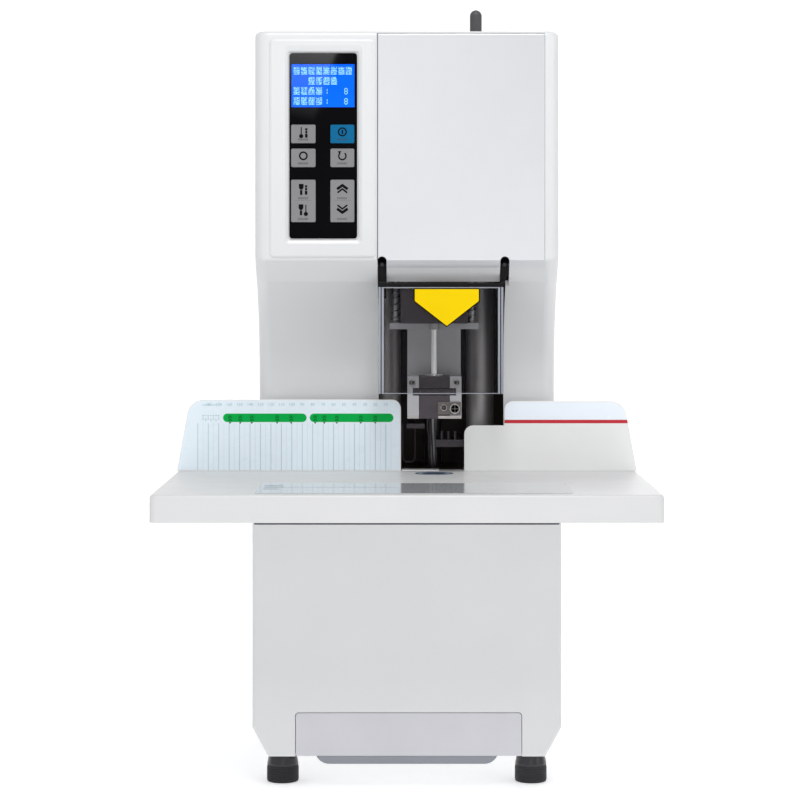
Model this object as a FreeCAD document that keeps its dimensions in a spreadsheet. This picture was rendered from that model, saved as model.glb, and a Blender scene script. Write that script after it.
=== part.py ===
"""Document riveting machine: a desk-standing electric drill and tube riveter for paper stacks.

Millimetres. X to the right, Y away from the operator, Z up. The origin is on the desk, under
the middle of the machine's outline.
"""
import FreeCAD, Part
import os
import Sketcher

doc = FreeCAD.newDocument("DocumentRivetingMachine")
sheet = doc.addObject("Spreadsheet::Sheet", "Sizes")

SIZES = {
    # base and table
    "body_half": 143.3, "base_front": -54, "back": 213, "base_low": 30.4, "base_top": 264.7,
    "base_wall": 2.5, "base_chamfer": 15, "base_chamfer_up": 27, "base_corner": 3,
    "foot_radius": 14.8, "foot_neck": 12, "foot_straight": 14.5, "foot_x": 117,
    "foot_front": -13, "foot_back": 178, "floor_thick": 2,
    "table_half": 221, "table_front": -216, "table_back": 43.7, "table_top": 288.7,
    "table_skin": 3, "table_corner": 6, "table_edge": 3,
    "plate_left": -131, "plate_right": 143.5, "plate_front": -204, "plate_rear": -108,
    "plate_thick": 1, "board_recess": 0.6,
    # chip drawer
    "drawer_half": 104.7, "drawer_x": 1.7, "drawer_high": 71.2, "drawer_gap": 0.5, "drawer_front": 4,
    "drawer_wall": 2, "drawer_long": 150, "drawer_round": 3, "tray_half": 98, "tray_high": 67,
    "tray_gap": 0.3, "rail_gap": 0.5, "lip_round": 13, "lip_inset": 0.8,
    "lip_top": 84, "lip_low": 80, "lip_drop": 7.6, "rail_wide": 5, "rail_high": 12,
    # back stops
    "stop_face": 24, "stop_thick": 3, "stop_flange": 15, "stop_left_end": -5.6,
    "stop_left_top": 357.3, "stop_lean": 12.4, "stop_right_start": 55.1,
    "stop_low_top": 332.5, "stop_tab_start": 93.4, "stop_tab_top": 355.8,
    "stop_round": 8.6, "stop_shoulder": 16,
    # head and column covers
    "head_front": -22, "head_top": 706.7, "head_low": 491.5, "under_y": -6, "under_z": 470.5,
    "column_front": 44, "swoop_z": 432.5, "swoop_radius": 118, "shell": 3, "shell_split": 120,
    "shell_corner": 12, "top_round": 5, "brow_round": 6, "under_round": 10, "rear_round": 4,
    "window_left": -27.3, "window_right": 93.6,
    "slot_wide": 8.6, "slot_left": -23.3, "slot_right": 92.3, "slot_top": 494.5,
    "rear_wall": 2.5, "vent_drop": 60, "vent_wide": 50, "vent_high": 4, "vent_pitch": 10,
    # silver fascia
    "fascia_left": -27.3, "fascia_right": 129.8, "fascia_low": 484, "fascia_high": 704,
    "fascia_inset": 1, "fascia_thick": 2, "fascia_gap": 0.3, "fascia_round": 0.8,
    # keypad
    "panel_left": -110.5, "panel_right": -46.7, "panel_low": 511.3, "panel_high": 685.8,
    "panel_thick": 1.2, "panel_depth": 1.5, "panel_ledge": 3, "panel_rim": 2.2, "panel_round": 3,
    "screen_left": -108.6, "screen_right": -49.1, "screen_low": 634.8, "screen_high": 675.5,
    "key_column_a": -109.1, "key_column_b": -72.1, "key_wide_a": 23.6, "key_wide_b": 23,
    "key_row_a": 600.7, "key_row_b": 578.2, "key_row_c": 526.5, "key_tall": 18,
    "key_long": 40.4, "key_gap": 0.3, "key_thick": 2.4, "key_proud": 0.4, "key_round": 1.5,
    "board_thick": 1.6, "board_back": 1.4, "screen_gap": 0.2, "pivot_radius": 0.7,
    # steel frame
    "frame_thick": 10, "frame_high": 600, "frame_half": 140, "post_radius": 13.5,
    "post_left": -19.7, "post_right": 71.7, "post_y": 75, "top_left": -45, "top_right": 97,
    "top_front": 50, "top_rear": 130, "bush_wall": 3, "fit": 0.05,
    # throat liner
    "liner_left": -38, "liner_right": 104, "liner_rear": 128, "liner_wall": 2,
    "liner_high": 470, "liner_gap": 0.5, "wire": 0.8, "wire_y": 62, "wire_rise": 56,
    "loop_x": 2, "loop_y": 66, "loop_half": 6, "loop_low": 294, "loop_high": 332,
    "left_bar_z": 328, "left_bar_end": 17.5, "right_bar_z": 310, "right_bar_start": 28,
    "right_bar_end": 56, "bar_face": 50, "peg_radius": 1.6, "peg_high": 8,
    # drill head
    "axis_x": 26, "axis_y": 9, "block_low": 525, "block_thick": 30, "block_left": -40,
    "block_right": 92, "block_front": 0.5, "block_rear": 122, "quill_half": 32,
    "quill_depth": 10.5, "quill_low": 431, "spindle_radius": 5, "bearing_radius": 9.5,
    "bearing_thick": 8, "drill_radius": 2.85, "drill_tip": 341, "pulley_radius": 15,
    "pulley_thick": 14, "belt_thick": 1.6, "belt_wide": 10, "motor_radius": 25,
    "motor_y": 64, "motor_long": 80, "shaft_radius": 4, "bore_clear": 1, "pulley_gap": 2,
    "drill_hollow": 1.9, "drill_grip": 17, "tail": 6, "motor_floor": 8,
    "screw_y": 105, "screw_radius": 8, "nut_radius": 12, "nut_flange": 17, "flange_thick": 5,
    "nut_drop": 8, "coupling_drop": 14,
    "coupling_radius": 11, "lift_motor_radius": 29, "lift_motor_long": 74,
    # clamp foot
    "foot_left": 0.5, "foot_right": 51.8, "foot_low": 341, "foot_high": 381,
    "foot_cheek": 11, "foot_face": -8, "foot_rear": 26, "notch_low": 362.9,
    "notch_high": 369.9, "notch_deep": 5.8, "hanger_thick": 3, "bar_high": 6,
    "bar_reach": 17, "bar_front": 24.5, "bar_rear": 36.5, "rod_radius": 2.4,
    "rod_offset": 36.5, "rod_y": 30.5, "coil_radius": 3.6, "wire_radius": 0.6,
    "coil_pitch": 6, "drill_clear": 0.5, "terminal_left": 29.3, "terminal_high": 357,
    "terminal_low": 345, "terminal_thick": 2.4, "bush_seat": 5, "bush_deep": 9, "bush_lip": 9,
    "bush_lip_thick": 1.6, "notch_back": 7, "heater_gap": 0.3, "collar_radius": 4,
    "collar_thick": 2.5, "head_thick": 1.2, "cheek_screw_z": 375.2, "cheek_screw": 2.2,
    "small_screw_x": 34.9, "small_screw_z": 351.6, "small_screw": 3, "big_screw_x": 45.4,
    "big_screw_z": 350.6, "big_screw": 4.8,
    # turning pad in the table
    "pad_radius": 18, "pad_thick": 8, "pad_gap": 0.4, "pad_shaft": 5,
    "seat_wall": 6, "anvil_radius": 3.6, "anvil_offset": 9, "anvil_high": 5, "pad_knob": 14,
    "pad_knob_high": 8,
    # swinging shield
    "hinge_y": -8, "hinge_z": 487, "shield_left": -26.9, "shield_right": 91,
    "shield_face": -24, "shield_wall": 2.4, "shield_low": 365, "shield_high": 466,
    "shield_back": 14, "arm_wide": 7.6, "arm_shoulder": 455, "arm_neck": 470,
    "arm_hub": 5.2, "arm_taper": 478, "trim_high": 3.5, "trim_deep": 5, "pin_radius": 2,
    "tab_thick": 2.2,
    "patch_shift": 5.5, "patch_half": 30, "patch_drop": 1.5, "patch_side": 12.5,
    "patch_point": 37.5, "film": 0.3, "tab_high": 8, "tab_rear": 7, "tab_below": 2.8,
    # tube feed on the head
    "tube_x": 67.5, "tube_y": 65, "sleeve_radius": 5.85, "sleeve_bore": 3.5,
    "sleeve_low": 671, "sleeve_high": 727, "cap_high": 9, "roller_radius": 8,
    "roller_long": 16, "roller_z": 648, "tube_radius": 2.6, "feed_plate": 3, "collar_out": 4,
    "plug_long": 7, "feed_shaft": 2, "feed_margin": 9, "ledge_half": 12, "feed_can": 12,
    "feed_can_long": 36, "feed_grip": 12,
    # services at the back
    "inlet_x": 70, "inlet_z": 318, "inlet_wide": 50, "inlet_high": 30, "inlet_proud": 3,
    "rocker_wide": 18, "rocker_high": 13, "inlet_step": 2.3, "inlet_deep": 24,
    "socket_deep": 15, "socket_half": 8, "pin_half": 0.8, "pin_tall": 2, "rocker_x": 58,
    "rocker_pin": 1, "rocker_gap": 0.4,
    "supply_half": 60, "supply_front": 150, "supply_back": 200, "supply_high": 48,
    "circuit_left": -75, "circuit_right": 35, "circuit_low": 390, "circuit_high": 520,
    "circuit_gap": 10.4, "circuit_post": 3, "circuit_edge": 7,
    "cover_screw_x": 128, "cover_screw_in": 20, "screw_head": 3.5, "screw_thick": 2
}


class Size:
    """A number and the spreadsheet expression that it comes from."""

    def __init__(self, value, text=None):
        self.value = float(value)
        self.text = text or repr(float(value))

    def join(self, other, sign, value):
        return Size(value, f"({self.text} {sign} {other.text})")

    def __add__(self, other):
        other = size(other)
        return self.join(other, "+", self.value + other.value)

    def __sub__(self, other):
        other = size(other)
        return self.join(other, "-", self.value - other.value)

    def __mul__(self, other):
        other = size(other)
        return self.join(other, "*", self.value * other.value)

    def __truediv__(self, other):
        other = size(other)
        return self.join(other, "/", self.value / other.value)

    def __neg__(self):
        return Size(-self.value, f"(-1 * {self.text})")

    def __radd__(self, other):
        return size(other) + self

    def __rsub__(self, other):
        return size(other) - self

    def __rmul__(self, other):
        return self * other


def size(number):
    return number if isinstance(number, Size) else Size(number)


class Sheet:
    """Every size by its name, bound to its cell."""


def fill_sheet():
    for row, (name, value) in enumerate(SIZES.items(), start=1):
        cell = f"B{row}"
        sheet.set(f"A{row}", name)
        sheet.set(cell, repr(value))
        sheet.setAlias(cell, name)
        setattr(Sheet, name, Size(value, f"Sizes.{name}"))
    doc.recompute()


fill_sheet()
s = Sheet
s.pad_y = s.axis_y - s.anvil_offset


def bind(item, prop, number):
    item.setExpression(prop, size(number).text)


def block(name, x, y, z):
    item = doc.addObject("Part::Box", name)
    bind(item, "Length", size(x[1]) - x[0])
    bind(item, "Width", size(y[1]) - y[0])
    bind(item, "Height", size(z[1]) - z[0])
    place(item, x[0], y[0], z[0])
    return item


def place(item, x, y, z):
    bind(item, ".Placement.Base.x", x)
    bind(item, ".Placement.Base.y", y)
    bind(item, ".Placement.Base.z", z)


AXES = {
    "X": FreeCAD.Rotation(FreeCAD.Vector(0, 1, 0), 90),
    "Y": FreeCAD.Rotation(FreeCAD.Vector(1, 0, 0), -90),
    "Z": FreeCAD.Rotation(),
}


def rod(name, at, radius, length, axis="Z"):
    """A cylinder that starts at the point and runs along the axis."""
    item = doc.addObject("Part::Cylinder", name)
    item.Placement = FreeCAD.Placement(FreeCAD.Vector(), AXES[axis])
    bind(item, "Radius", radius)
    bind(item, "Height", length)
    place(item, *at)
    return item


def cone(name, at, radius_a, radius_b, length, axis="Z"):
    item = doc.addObject("Part::Cone", name)
    item.Placement = FreeCAD.Placement(FreeCAD.Vector(), AXES[axis])
    bind(item, "Radius1", radius_a)
    bind(item, "Radius2", radius_b)
    bind(item, "Height", length)
    place(item, *at)
    return item


def ball(name, at, radius):
    item = doc.addObject("Part::Sphere", name)
    bind(item, "Radius", radius)
    place(item, *at)
    return item


def fuse(name, items):
    item = doc.addObject("Part::MultiFuse", name)
    item.Shapes = items
    item.Refine = True
    return item


def cut(name, base, tools):
    item = doc.addObject("Part::Cut", name)
    item.Base = base
    item.Tool = tools[0] if len(tools) == 1 else fuse(name + "_tool", tools)
    item.Refine = True
    return item


def group(name, items):
    item = doc.addObject("Part::Compound", name)
    item.Links = items
    return item


PLANES = {"XY": ("XY_Plane", 1), "XZ": ("XZ_Plane", -1), "YZ": ("YZ_Plane", 1)}


def profile(name, plane, points, start, end):
    """A body padded from an outline, between two stations along the plane's normal."""
    body = doc.addObject("PartDesign::Body", name)
    doc.recompute()
    role, way = PLANES[plane]
    sketch = body.newObject("Sketcher::SketchObject", name + "_outline")
    origin = [item for item in body.Origin.OriginFeatures if item.Role == role][0]
    sketch.AttachmentSupport = [(origin, "")]
    sketch.MapMode = "FlatFace"
    first = size(start) if way > 0 else -size(end)
    bind(sketch, ".AttachmentOffset.Base.z", first)
    draw_outline(sketch, points)
    pad = body.newObject("PartDesign::Pad", name + "_pad")
    pad.Profile = sketch
    bind(pad, "Length", size(end) - start)
    doc.recompute()
    body.Tip = pad
    return body


def draw_outline(sketch, points):
    """Closed straight outline, each corner held at its named place."""
    corners = [FreeCAD.Vector(size(u).value, size(v).value, 0) for u, v in points]
    for index, corner in enumerate(corners):
        following = corners[(index + 1) % len(corners)]
        sketch.addGeometry(Part.LineSegment(corner, following), False)
    for index in range(len(points)):
        following = (index + 1) % len(points)
        sketch.addConstraint(Sketcher.Constraint("Coincident", index, 2, following, 1))
    for index, (u, v) in enumerate(points):
        hold_corner(sketch, index, "DistanceX", size(u))
        hold_corner(sketch, index, "DistanceY", size(v))


def hold_corner(sketch, index, kind, number):
    held = sketch.addConstraint(Sketcher.Constraint(kind, -1, 1, index, 1, number.value))
    sketch.setExpression(f"Constraints[{held}]", number.text)


def round_edges(body, name, radius, chosen):
    """Fillet the edges of the body whose middle and direction are chosen."""
    base = body.Tip
    names = []
    for index, edge in enumerate(base.Shape.Edges, start=1):
        if edge.Length < 0.01:
            continue
        middle = edge.valueAt((edge.FirstParameter + edge.LastParameter) / 2)
        along = edge.tangentAt((edge.FirstParameter + edge.LastParameter) / 2)
        if chosen(middle, along):
            names.append(f"Edge{index}")
    if not names:
        raise RuntimeError(f"{name}: no edge to round")
    fillet = body.newObject("PartDesign::Fillet", name)
    fillet.Base = (base, names)
    bind(fillet, "Radius", radius)
    doc.recompute()
    body.Tip = fillet
    return body


def near(a, b, slack=0.05):
    return abs(a - size(b).value) < slack


def upright(along):
    return abs(along.z) > 0.99


def sideways(along):
    return abs(along.x) > 0.99


def deep(along):
    return abs(along.y) > 0.99


PIECES = {}


def piece(name, item):
    """Registers a finished sub-part under the name of its node."""
    item.Label = name
    PIECES[name] = item
    return item


# ---------------------------------------------------------------- base and table
def base_outline(inset, top):
    half = s.body_half - inset
    low = s.base_low + inset
    waist = s.base_low + s.base_chamfer_up
    return [(-half, top), (-half, waist), (s.base_chamfer - half, low),
            (half - s.base_chamfer, low), (half, waist), (half, top)]


def drawer_plate(name, grow, low, front, rear):
    """The drawer front's outline with its round upper corners, a little larger all round."""
    half = s.drawer_half + grow
    high = s.drawer_high + grow
    left, right = s.drawer_x - half, s.drawer_x + half
    plate = profile(name, "XZ", [(left, low), (left, high), (right, high), (right, low)],
                    front, rear)
    return round_edges(plate, name + "_corners", s.drawer_round + grow,
                       lambda m, a: deep(a) and near(m.z, high))


def make_base():
    wall = s.base_wall
    outer = profile("base_outer", "XZ", base_outline(0, s.base_top), s.base_front, s.back)
    round_edges(outer, "base_corners", s.base_corner,
                lambda m, a: not deep(a) and near(m.y, s.base_front) and not near(m.z, s.base_top))
    inner = profile("base_inner", "XZ", base_outline(wall, s.base_top + 1),
                    s.base_front + wall, s.back - wall)
    mouth = drawer_plate("base_mouth", s.drawer_gap, s.base_low - 1,
                         s.base_front - 1, s.base_front + s.drawer_front + 2)
    piece("base_housing", cut("base_shell", outer, [inner, mouth]))
    floor_low = s.base_low + wall
    half = s.body_half - s.base_chamfer - wall
    floor_front = s.base_front + s.drawer_front + 3
    rail_low = floor_low + s.floor_thick
    parts = [block("floor_sheet", (-half, half), (floor_front, s.back - wall - 1),
                   (floor_low, rail_low))]
    for edge in (-s.tray_half - s.rail_gap - s.rail_wide, s.tray_half + s.rail_gap):
        parts.append(block("drawer_rail", (edge, edge + s.rail_wide),
                           (floor_front + 1, floor_front + s.drawer_long),
                           (rail_low - 0.5, rail_low + s.rail_high)))
    piece("base_floor", fuse("floor_and_rails", parts))


def make_feet():
    feet = []
    for side in (-1, 1):
        for y in (s.foot_front, s.foot_back):
            at = s.foot_x * side
            tread = rod("foot_tread", (at, y, 0), s.foot_radius, s.foot_straight)
            neck = cone("foot_neck", (at, y, s.foot_straight), s.foot_radius, s.foot_neck,
                        s.base_low - s.foot_straight)
            feet.append(fuse("foot", [tread, neck]))
    piece("feet", group("four_feet", feet))


def make_drawer():
    front = s.base_front
    panel_rear = front + s.drawer_front
    tray_low = s.base_low + s.base_wall + s.floor_thick + s.tray_gap
    tray_rear = panel_rear + s.drawer_long
    wall = s.drawer_wall
    panel = drawer_plate("drawer_panel", Size(0), s.base_low + 1, front, panel_rear)
    tray = block("drawer_tray", (-s.tray_half, s.tray_half), (panel_rear, tray_rear),
                 (tray_low, s.tray_high))
    hollow = block("drawer_hollow", (wall - s.tray_half, s.tray_half - wall),
                   (panel_rear, tray_rear - wall), (tray_low + wall, s.tray_high + 1))
    lip_low = s.base_low + 1 - s.lip_drop
    lip = profile("drawer_lip", "XZ", [(-s.lip_top, s.base_low + 1), (-s.lip_low, lip_low),
                                       (s.lip_low, lip_low), (s.lip_top, s.base_low + 1)],
                  front + s.lip_inset, panel_rear)
    round_edges(lip, "lip_ends", s.lip_round, lambda m, a: deep(a) and near(m.z, lip_low))
    box = cut("drawer_box", tray, [hollow])
    piece("chip_drawer", fuse("drawer_body", [panel, box, lip]))


def make_table():
    half = s.table_half
    skin_low = s.table_top - s.table_skin
    wall = s.table_skin
    slab = profile("table_slab", "XY", [(-half, s.table_front), (half, s.table_front),
                                        (half, s.table_back), (-half, s.table_back)],
                   s.base_top, s.table_top)
    round_edges(slab, "table_corners", s.table_corner,
                lambda m, a: upright(a) and near(m.y, s.table_front))
    round_edges(slab, "table_rim", s.table_edge,
                lambda m, a: near(m.z, s.table_top) and not near(m.y, s.table_back))
    rib = s.table_skin
    columns = [(wall - half, -s.body_half), (rib - s.body_half, s.body_half - rib),
               (s.body_half, half - wall)]
    rows = [(s.table_front + wall, s.base_front), (s.base_front + rib, s.table_back - wall)]
    tools = []
    for x in columns:
        for y in rows:
            tools.append(block("table_pocket", x, y, (s.base_top - 1, skin_low)))
    tools.append(rod("pad_hole", (s.axis_x, s.pad_y, s.base_top), s.pad_radius + s.pad_gap,
                     s.table_top))
    low = s.table_top - s.board_recess
    tools.append(block("board_bed", (s.plate_left, s.plate_right), (s.plate_front, s.plate_rear),
                       (low, s.table_top + 1)))
    piece("table_top", cut("table_shell", slab, tools))
    piece("table_plate", block("glossy_plate", (s.plate_left + 0.2, s.plate_right - 0.2),
                               (s.plate_front + 0.2, s.plate_rear - 0.2),
                               (low, low + s.plate_thick)))
    piece("throat_plate", block("bright_plate", (s.stop_left_end + 1, s.axis_x + 5),
                                (s.stop_face + s.stop_thick + 0.5, s.table_back),
                                (s.table_top, s.table_top + 0.8)))


def stop_plate(name, points, corners, flange):
    """An upright plate with rounded upper corners and a foot turned to the rear."""
    body = profile(name, "XZ", points, s.stop_face, s.stop_face + s.stop_thick)
    for index, (x, z, radius) in enumerate(corners):
        round_edges(body, f"{name}_round{index}", radius,
                    lambda m, a: deep(a) and near(m.x, x) and near(m.z, z))
    rear = s.stop_face + s.stop_thick
    foot = block(name + "_flange", flange, (rear - 0.5, rear + s.stop_flange),
                 (s.table_top, s.table_top + s.stop_thick))
    return fuse(name + "_stop", [body, foot])


def make_stops():
    low = s.table_top
    half = s.table_half
    shoulder = s.stop_lean - half
    left = [(-half, low), (shoulder, s.stop_left_top), (s.stop_left_end, s.stop_left_top),
            (s.stop_left_end, low)]
    piece("left_back_stop", stop_plate("left_plate", left, [
        (shoulder, s.stop_left_top, s.stop_shoulder),
        (s.stop_left_end, s.stop_left_top, s.stop_round)], (1 - half, s.stop_left_end)))
    right = [(s.stop_right_start, low), (s.stop_right_start, s.stop_low_top),
             (s.stop_tab_start, s.stop_low_top), (s.stop_tab_start, s.stop_tab_top),
             (half - s.stop_lean, s.stop_tab_top), (half, low)]
    piece("right_back_stop", stop_plate("right_plate", right, [
        (s.stop_right_start, s.stop_low_top, s.stop_round),
        (s.stop_tab_start, s.stop_tab_top, s.stop_round),
        (half - s.stop_lean, s.stop_tab_top, s.stop_shoulder)], (s.stop_right_start, half - 1)))


# ---------------------------------------------------------------- covers
def cover_body(name, inset, swoop, corner):
    """The head and column in side outline, carried across the machine."""
    front = s.head_front + inset
    low = s.base_top - inset
    rear = s.shell_split + inset
    top = s.head_top - inset
    points = [(front, top), (front, s.head_low + inset), (s.under_y + inset, s.under_z + inset),
              (s.column_front + inset, s.swoop_z + inset), (s.column_front + inset, low),
              (rear, low), (rear, top)]
    body = profile(name, "YZ", points, inset - s.body_half, s.body_half - inset)
    corners = [("swoop", swoop, s.column_front + inset, s.swoop_z + inset),
               ("brow", s.brow_round, front, s.head_low + inset),
               ("under", s.under_round, s.under_y + inset, s.under_z + inset)]
    for label, radius, y, z in corners:
        round_edges(body, f"{name}_{label}", radius,
                    lambda m, a: sideways(a) and near(m.y, y) and near(m.z, z))
    half = s.body_half - inset
    round_edges(body, name + "_sides", corner,
                lambda m, a: near(abs(m.x), half) and not near(m.z, top)
                and not near(m.y, rear) and not near(m.z, low))
    return body


def arm_slot(name, centre):
    """The round-headed slot that a shield arm swings in."""
    radius = s.slot_wide / 2
    straight = s.slot_top - radius
    y = s.head_front - 3
    leg = block(name + "_leg", (centre - radius, centre + radius), (y, s.hinge_y + 7),
                (s.arm_shoulder, straight))
    head = rod(name + "_head", (centre, y, straight), radius, s.hinge_y + 7 - y, "Y")
    return fuse(name, [leg, head])


def make_front_cover():
    outer = cover_body("cover_outer", Size(0), s.swoop_radius, s.shell_corner)
    round_edges(outer, "cover_top", s.top_round,
                lambda m, a: near(m.z, s.head_top) and not near(m.y, s.shell_split))
    inner = cover_body("cover_inner", s.shell, s.swoop_radius, s.shell_corner - s.shell)
    front = s.head_front
    window = block("cover_window", (s.window_left, s.window_right), (front - 1, s.column_front + 15),
                   (s.base_top - 5, s.under_z + 0.2))
    lip = block("window_lip", (s.window_left, s.window_right),
                (s.under_y + s.shell, s.column_front + 15), (s.base_top - 5, s.under_z + 8))
    bezel_bed = block("bezel_bed", (s.panel_left - s.panel_rim, s.panel_right + s.panel_rim),
                      (front - 1, front + s.panel_depth),
                      (s.panel_low - s.panel_rim, s.panel_high + s.panel_rim))
    ledge = s.panel_ledge
    opening = block("keypad_opening", (s.panel_left + 1, s.panel_right - 1),
                    (front - 1, front + 10), (s.panel_low + ledge, s.panel_high - ledge))
    silver_bed = block("fascia_bed", (s.fascia_left - s.fascia_gap, s.fascia_right + s.fascia_gap),
                       (front - 1, front + s.fascia_inset),
                       (s.fascia_low - s.fascia_gap, s.fascia_high + s.fascia_gap))
    tube = rod("tube_hole", (s.tube_x, s.tube_y, s.head_top - 10), s.sleeve_radius + 0.3, 20)
    tools = [inner, window, lip, bezel_bed, opening, silver_bed, tube]
    tools.append(arm_slot("slot_left", s.slot_left))
    tools.append(arm_slot("slot_right", s.slot_right))
    piece("front_cover", cut("cover_shell", outer, tools))


def make_fascia():
    """A bent sheet: flat on the head's front, then turned under along the head's lower bevel."""
    rear = s.head_front + s.fascia_inset
    face = rear - s.fascia_thick
    lean = (s.under_y - s.head_front) / (s.head_low - s.under_z)
    low, high = s.fascia_low, s.fascia_high
    bend = s.head_low - 0.4
    inner_bend = s.head_low - s.fascia_inset / lean - 0.1
    body = profile("fascia_body", "YZ", [
        (face, high), (face, bend), (face + (bend - low) * lean, low),
        (rear + (inner_bend - low) * lean, low), (rear, inner_bend), (rear, high)],
        s.fascia_left, s.fascia_right)
    round_edges(body, "fascia_edges", s.fascia_round,
                lambda m, a: near(m.y, face) and not deep(a))
    piece("front_fascia", cut("fascia", body, [arm_slot("fascia_slot_left", s.slot_left),
                                               arm_slot("fascia_slot_right", s.slot_right)]))


def make_rear_cover():
    wall = s.rear_wall
    split = s.shell_split
    half = s.body_half
    outer = profile("rear_outer", "XY", [(-half, split), (-half, s.back), (half, s.back),
                                         (half, split)], s.base_top, s.head_top)
    round_edges(outer, "rear_corners", s.rear_round,
                lambda m, a: near(m.y, s.back) and not near(m.z, s.base_top))
    inner = block("rear_inner", (wall - half, half - wall), (split - 1, s.back - wall),
                  (s.base_top - 1, s.head_top - wall))
    tools = [inner]
    for column in (-1, 1):
        left = column * s.vent_pitch * 5 - s.vent_wide / 2
        for row in range(8):
            low = s.head_top - s.vent_drop - s.vent_pitch * row
            tools.append(block("vent", (left, left + s.vent_wide), (s.back - wall - 1, s.back + 1),
                               (low, low + s.vent_high)))
    wide = s.inlet_wide / 2 - 2
    tall = s.inlet_high / 2 - 2
    tools.append(block("inlet_cutout", (s.inlet_x - wide, s.inlet_x + wide),
                       (s.back - wall - 1, s.back + 1), (s.inlet_z - tall, s.inlet_z + tall)))
    piece("rear_cover", cut("rear_shell", outer, tools))


# ---------------------------------------------------------------- keypad
def key_places():
    """Left edge, lower edge, width and height of each key, by node name."""
    a, b = s.key_column_a, s.key_column_b
    wide_a, wide_b = s.key_wide_a, s.key_wide_b
    return {
        "key_punch": (a, s.key_row_a, wide_a, s.key_tall),
        "key_start": (b, s.key_row_a, wide_b, s.key_tall),
        "key_stop": (a, s.key_row_b, wide_a, s.key_tall),
        "key_reset": (b, s.key_row_b, wide_b, s.key_tall),
        "key_mode": (a, s.key_row_c, wide_a, s.key_long),
        "key_jog": (b, s.key_row_c, wide_b, s.key_long),
    }


def make_keypad():
    front = s.head_front + s.panel_depth - s.panel_thick
    rear = front + s.panel_thick
    panel = profile("bezel_panel", "XZ", [
        (s.panel_left, s.panel_low), (s.panel_left, s.panel_high),
        (s.panel_right, s.panel_high), (s.panel_right, s.panel_low)], front, rear)
    round_edges(panel, "bezel_corners", s.panel_round, lambda m, a: deep(a))
    tools = [block("screen_window", (s.screen_left, s.screen_right), (front - 1, rear + 1),
                   (s.screen_low, s.screen_high))]
    key_front = front - s.key_proud
    for name, (x, z, wide, tall) in key_places().items():
        gap = s.key_gap
        tools.append(block(name + "_hole", (x, x + wide), (front - 1, rear + 1), (z, z + tall)))
        cap = profile(name + "_cap", "XZ", [
            (x + gap, z + gap), (x + gap, z + tall - gap),
            (x + wide - gap, z + tall - gap), (x + wide - gap, z + gap)],
            key_front, key_front + s.key_thick)
        round_edges(cap, name + "_corners", s.key_round, lambda m, a: deep(a))
        if name in ("key_mode", "key_jog"):
            rib = rod(name + "_rib", (x + gap, key_front + s.key_thick - 0.2, z + tall / 2),
                      s.pivot_radius, wide - gap * 2, "X")
            cap = fuse(name + "_rocker", [cap, rib])
        piece(name, cap)
    piece("keypad_bezel", cut("bezel", panel, tools))
    piece("display_module", block("screen_box", (s.screen_left + s.screen_gap, s.screen_right - s.screen_gap),
                                  (front + 0.3, rear + s.board_back),
                                  (s.screen_low + s.screen_gap, s.screen_high - s.screen_gap)))
    board_front = rear + s.board_back
    piece("keypad_board", block("keypad_pcb", (s.panel_left + 1.5, s.panel_right - 1.5),
                                (board_front, board_front + s.board_thick),
                                (s.panel_low + s.panel_ledge + 0.5,
                                 s.panel_high - s.panel_ledge - 0.5)))


# ---------------------------------------------------------------- steel frame and throat
def post_places():
    return [(s.post_left, s.post_y), (s.post_right, s.post_y)]


def make_frame():
    low = s.base_top - s.frame_thick
    bottom = block("bottom_sheet", (-s.frame_half, s.frame_half),
                   (s.base_front + s.base_wall + 0.5, s.top_rear), (low, s.base_top))
    bearing = rod("screw_foot_hole", (s.axis_x, s.screw_y, low - 1), s.screw_radius + s.fit,
                  s.frame_thick + 2)
    pad_hole = rod("pad_shaft_hole", (s.axis_x, s.pad_y, low - 1), s.pad_shaft + s.fit,
                   s.frame_thick + 2)
    piece("frame_bottom_plate", cut("bottom_plate", bottom, [bearing, pad_hole]))
    top_low = s.frame_high
    top = block("top_sheet", (s.top_left, s.top_right), (s.top_front, s.top_rear),
                (top_low, top_low + s.frame_thick))
    passage = rod("coupling_hole", (s.axis_x, s.screw_y, top_low - 1),
                  s.coupling_radius + 1, s.frame_thick + 2)
    piece("frame_top_plate", cut("top_plate", top, [passage]))
    posts = [rod("guide_post", (x, y, s.base_top), s.post_radius, s.frame_high - s.base_top)
             for x, y in post_places()]
    piece("guide_columns", group("two_posts", posts))
    seat_low = s.base_top
    seat_top = s.table_top - s.table_skin
    seat = rod("pad_seat", (s.axis_x, s.pad_y, seat_low), s.pad_radius + s.seat_wall,
               seat_top - seat_low)
    well_low = s.table_top - s.pad_thick - 0.3
    well = rod("pad_well", (s.axis_x, s.pad_y, well_low), s.pad_radius + s.pad_gap, 20)
    bore = rod("pad_bore", (s.axis_x, s.pad_y, seat_low - 1), s.pad_shaft + s.fit, 30)
    piece("pad_seat", cut("pad_seat_ring", seat, [well, bore]))


def make_liner():
    wall = s.liner_wall
    floor_low = s.table_top - wall
    left, right = s.liner_left, s.liner_right
    front = s.column_front + s.shell + 0.3
    outer = block("liner_outer", (left, right), (front, s.liner_rear), (floor_low, s.liner_high))
    inner = block("liner_inner", (left + wall, right - wall), (front - 1, s.liner_rear - wall),
                  (s.table_top, s.liner_high + 1))
    tools = [inner]
    for x, y in post_places():
        tools.append(rod("post_hole", (x, y, floor_low - 1), s.post_radius + s.liner_gap, wall + 2))
    tools.append(rod("screw_hole", (s.axis_x, s.screw_y, floor_low - 1),
                     s.screw_radius + s.liner_gap, wall + 2))
    piece("throat_liner", cut("liner", outer, tools))


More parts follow.
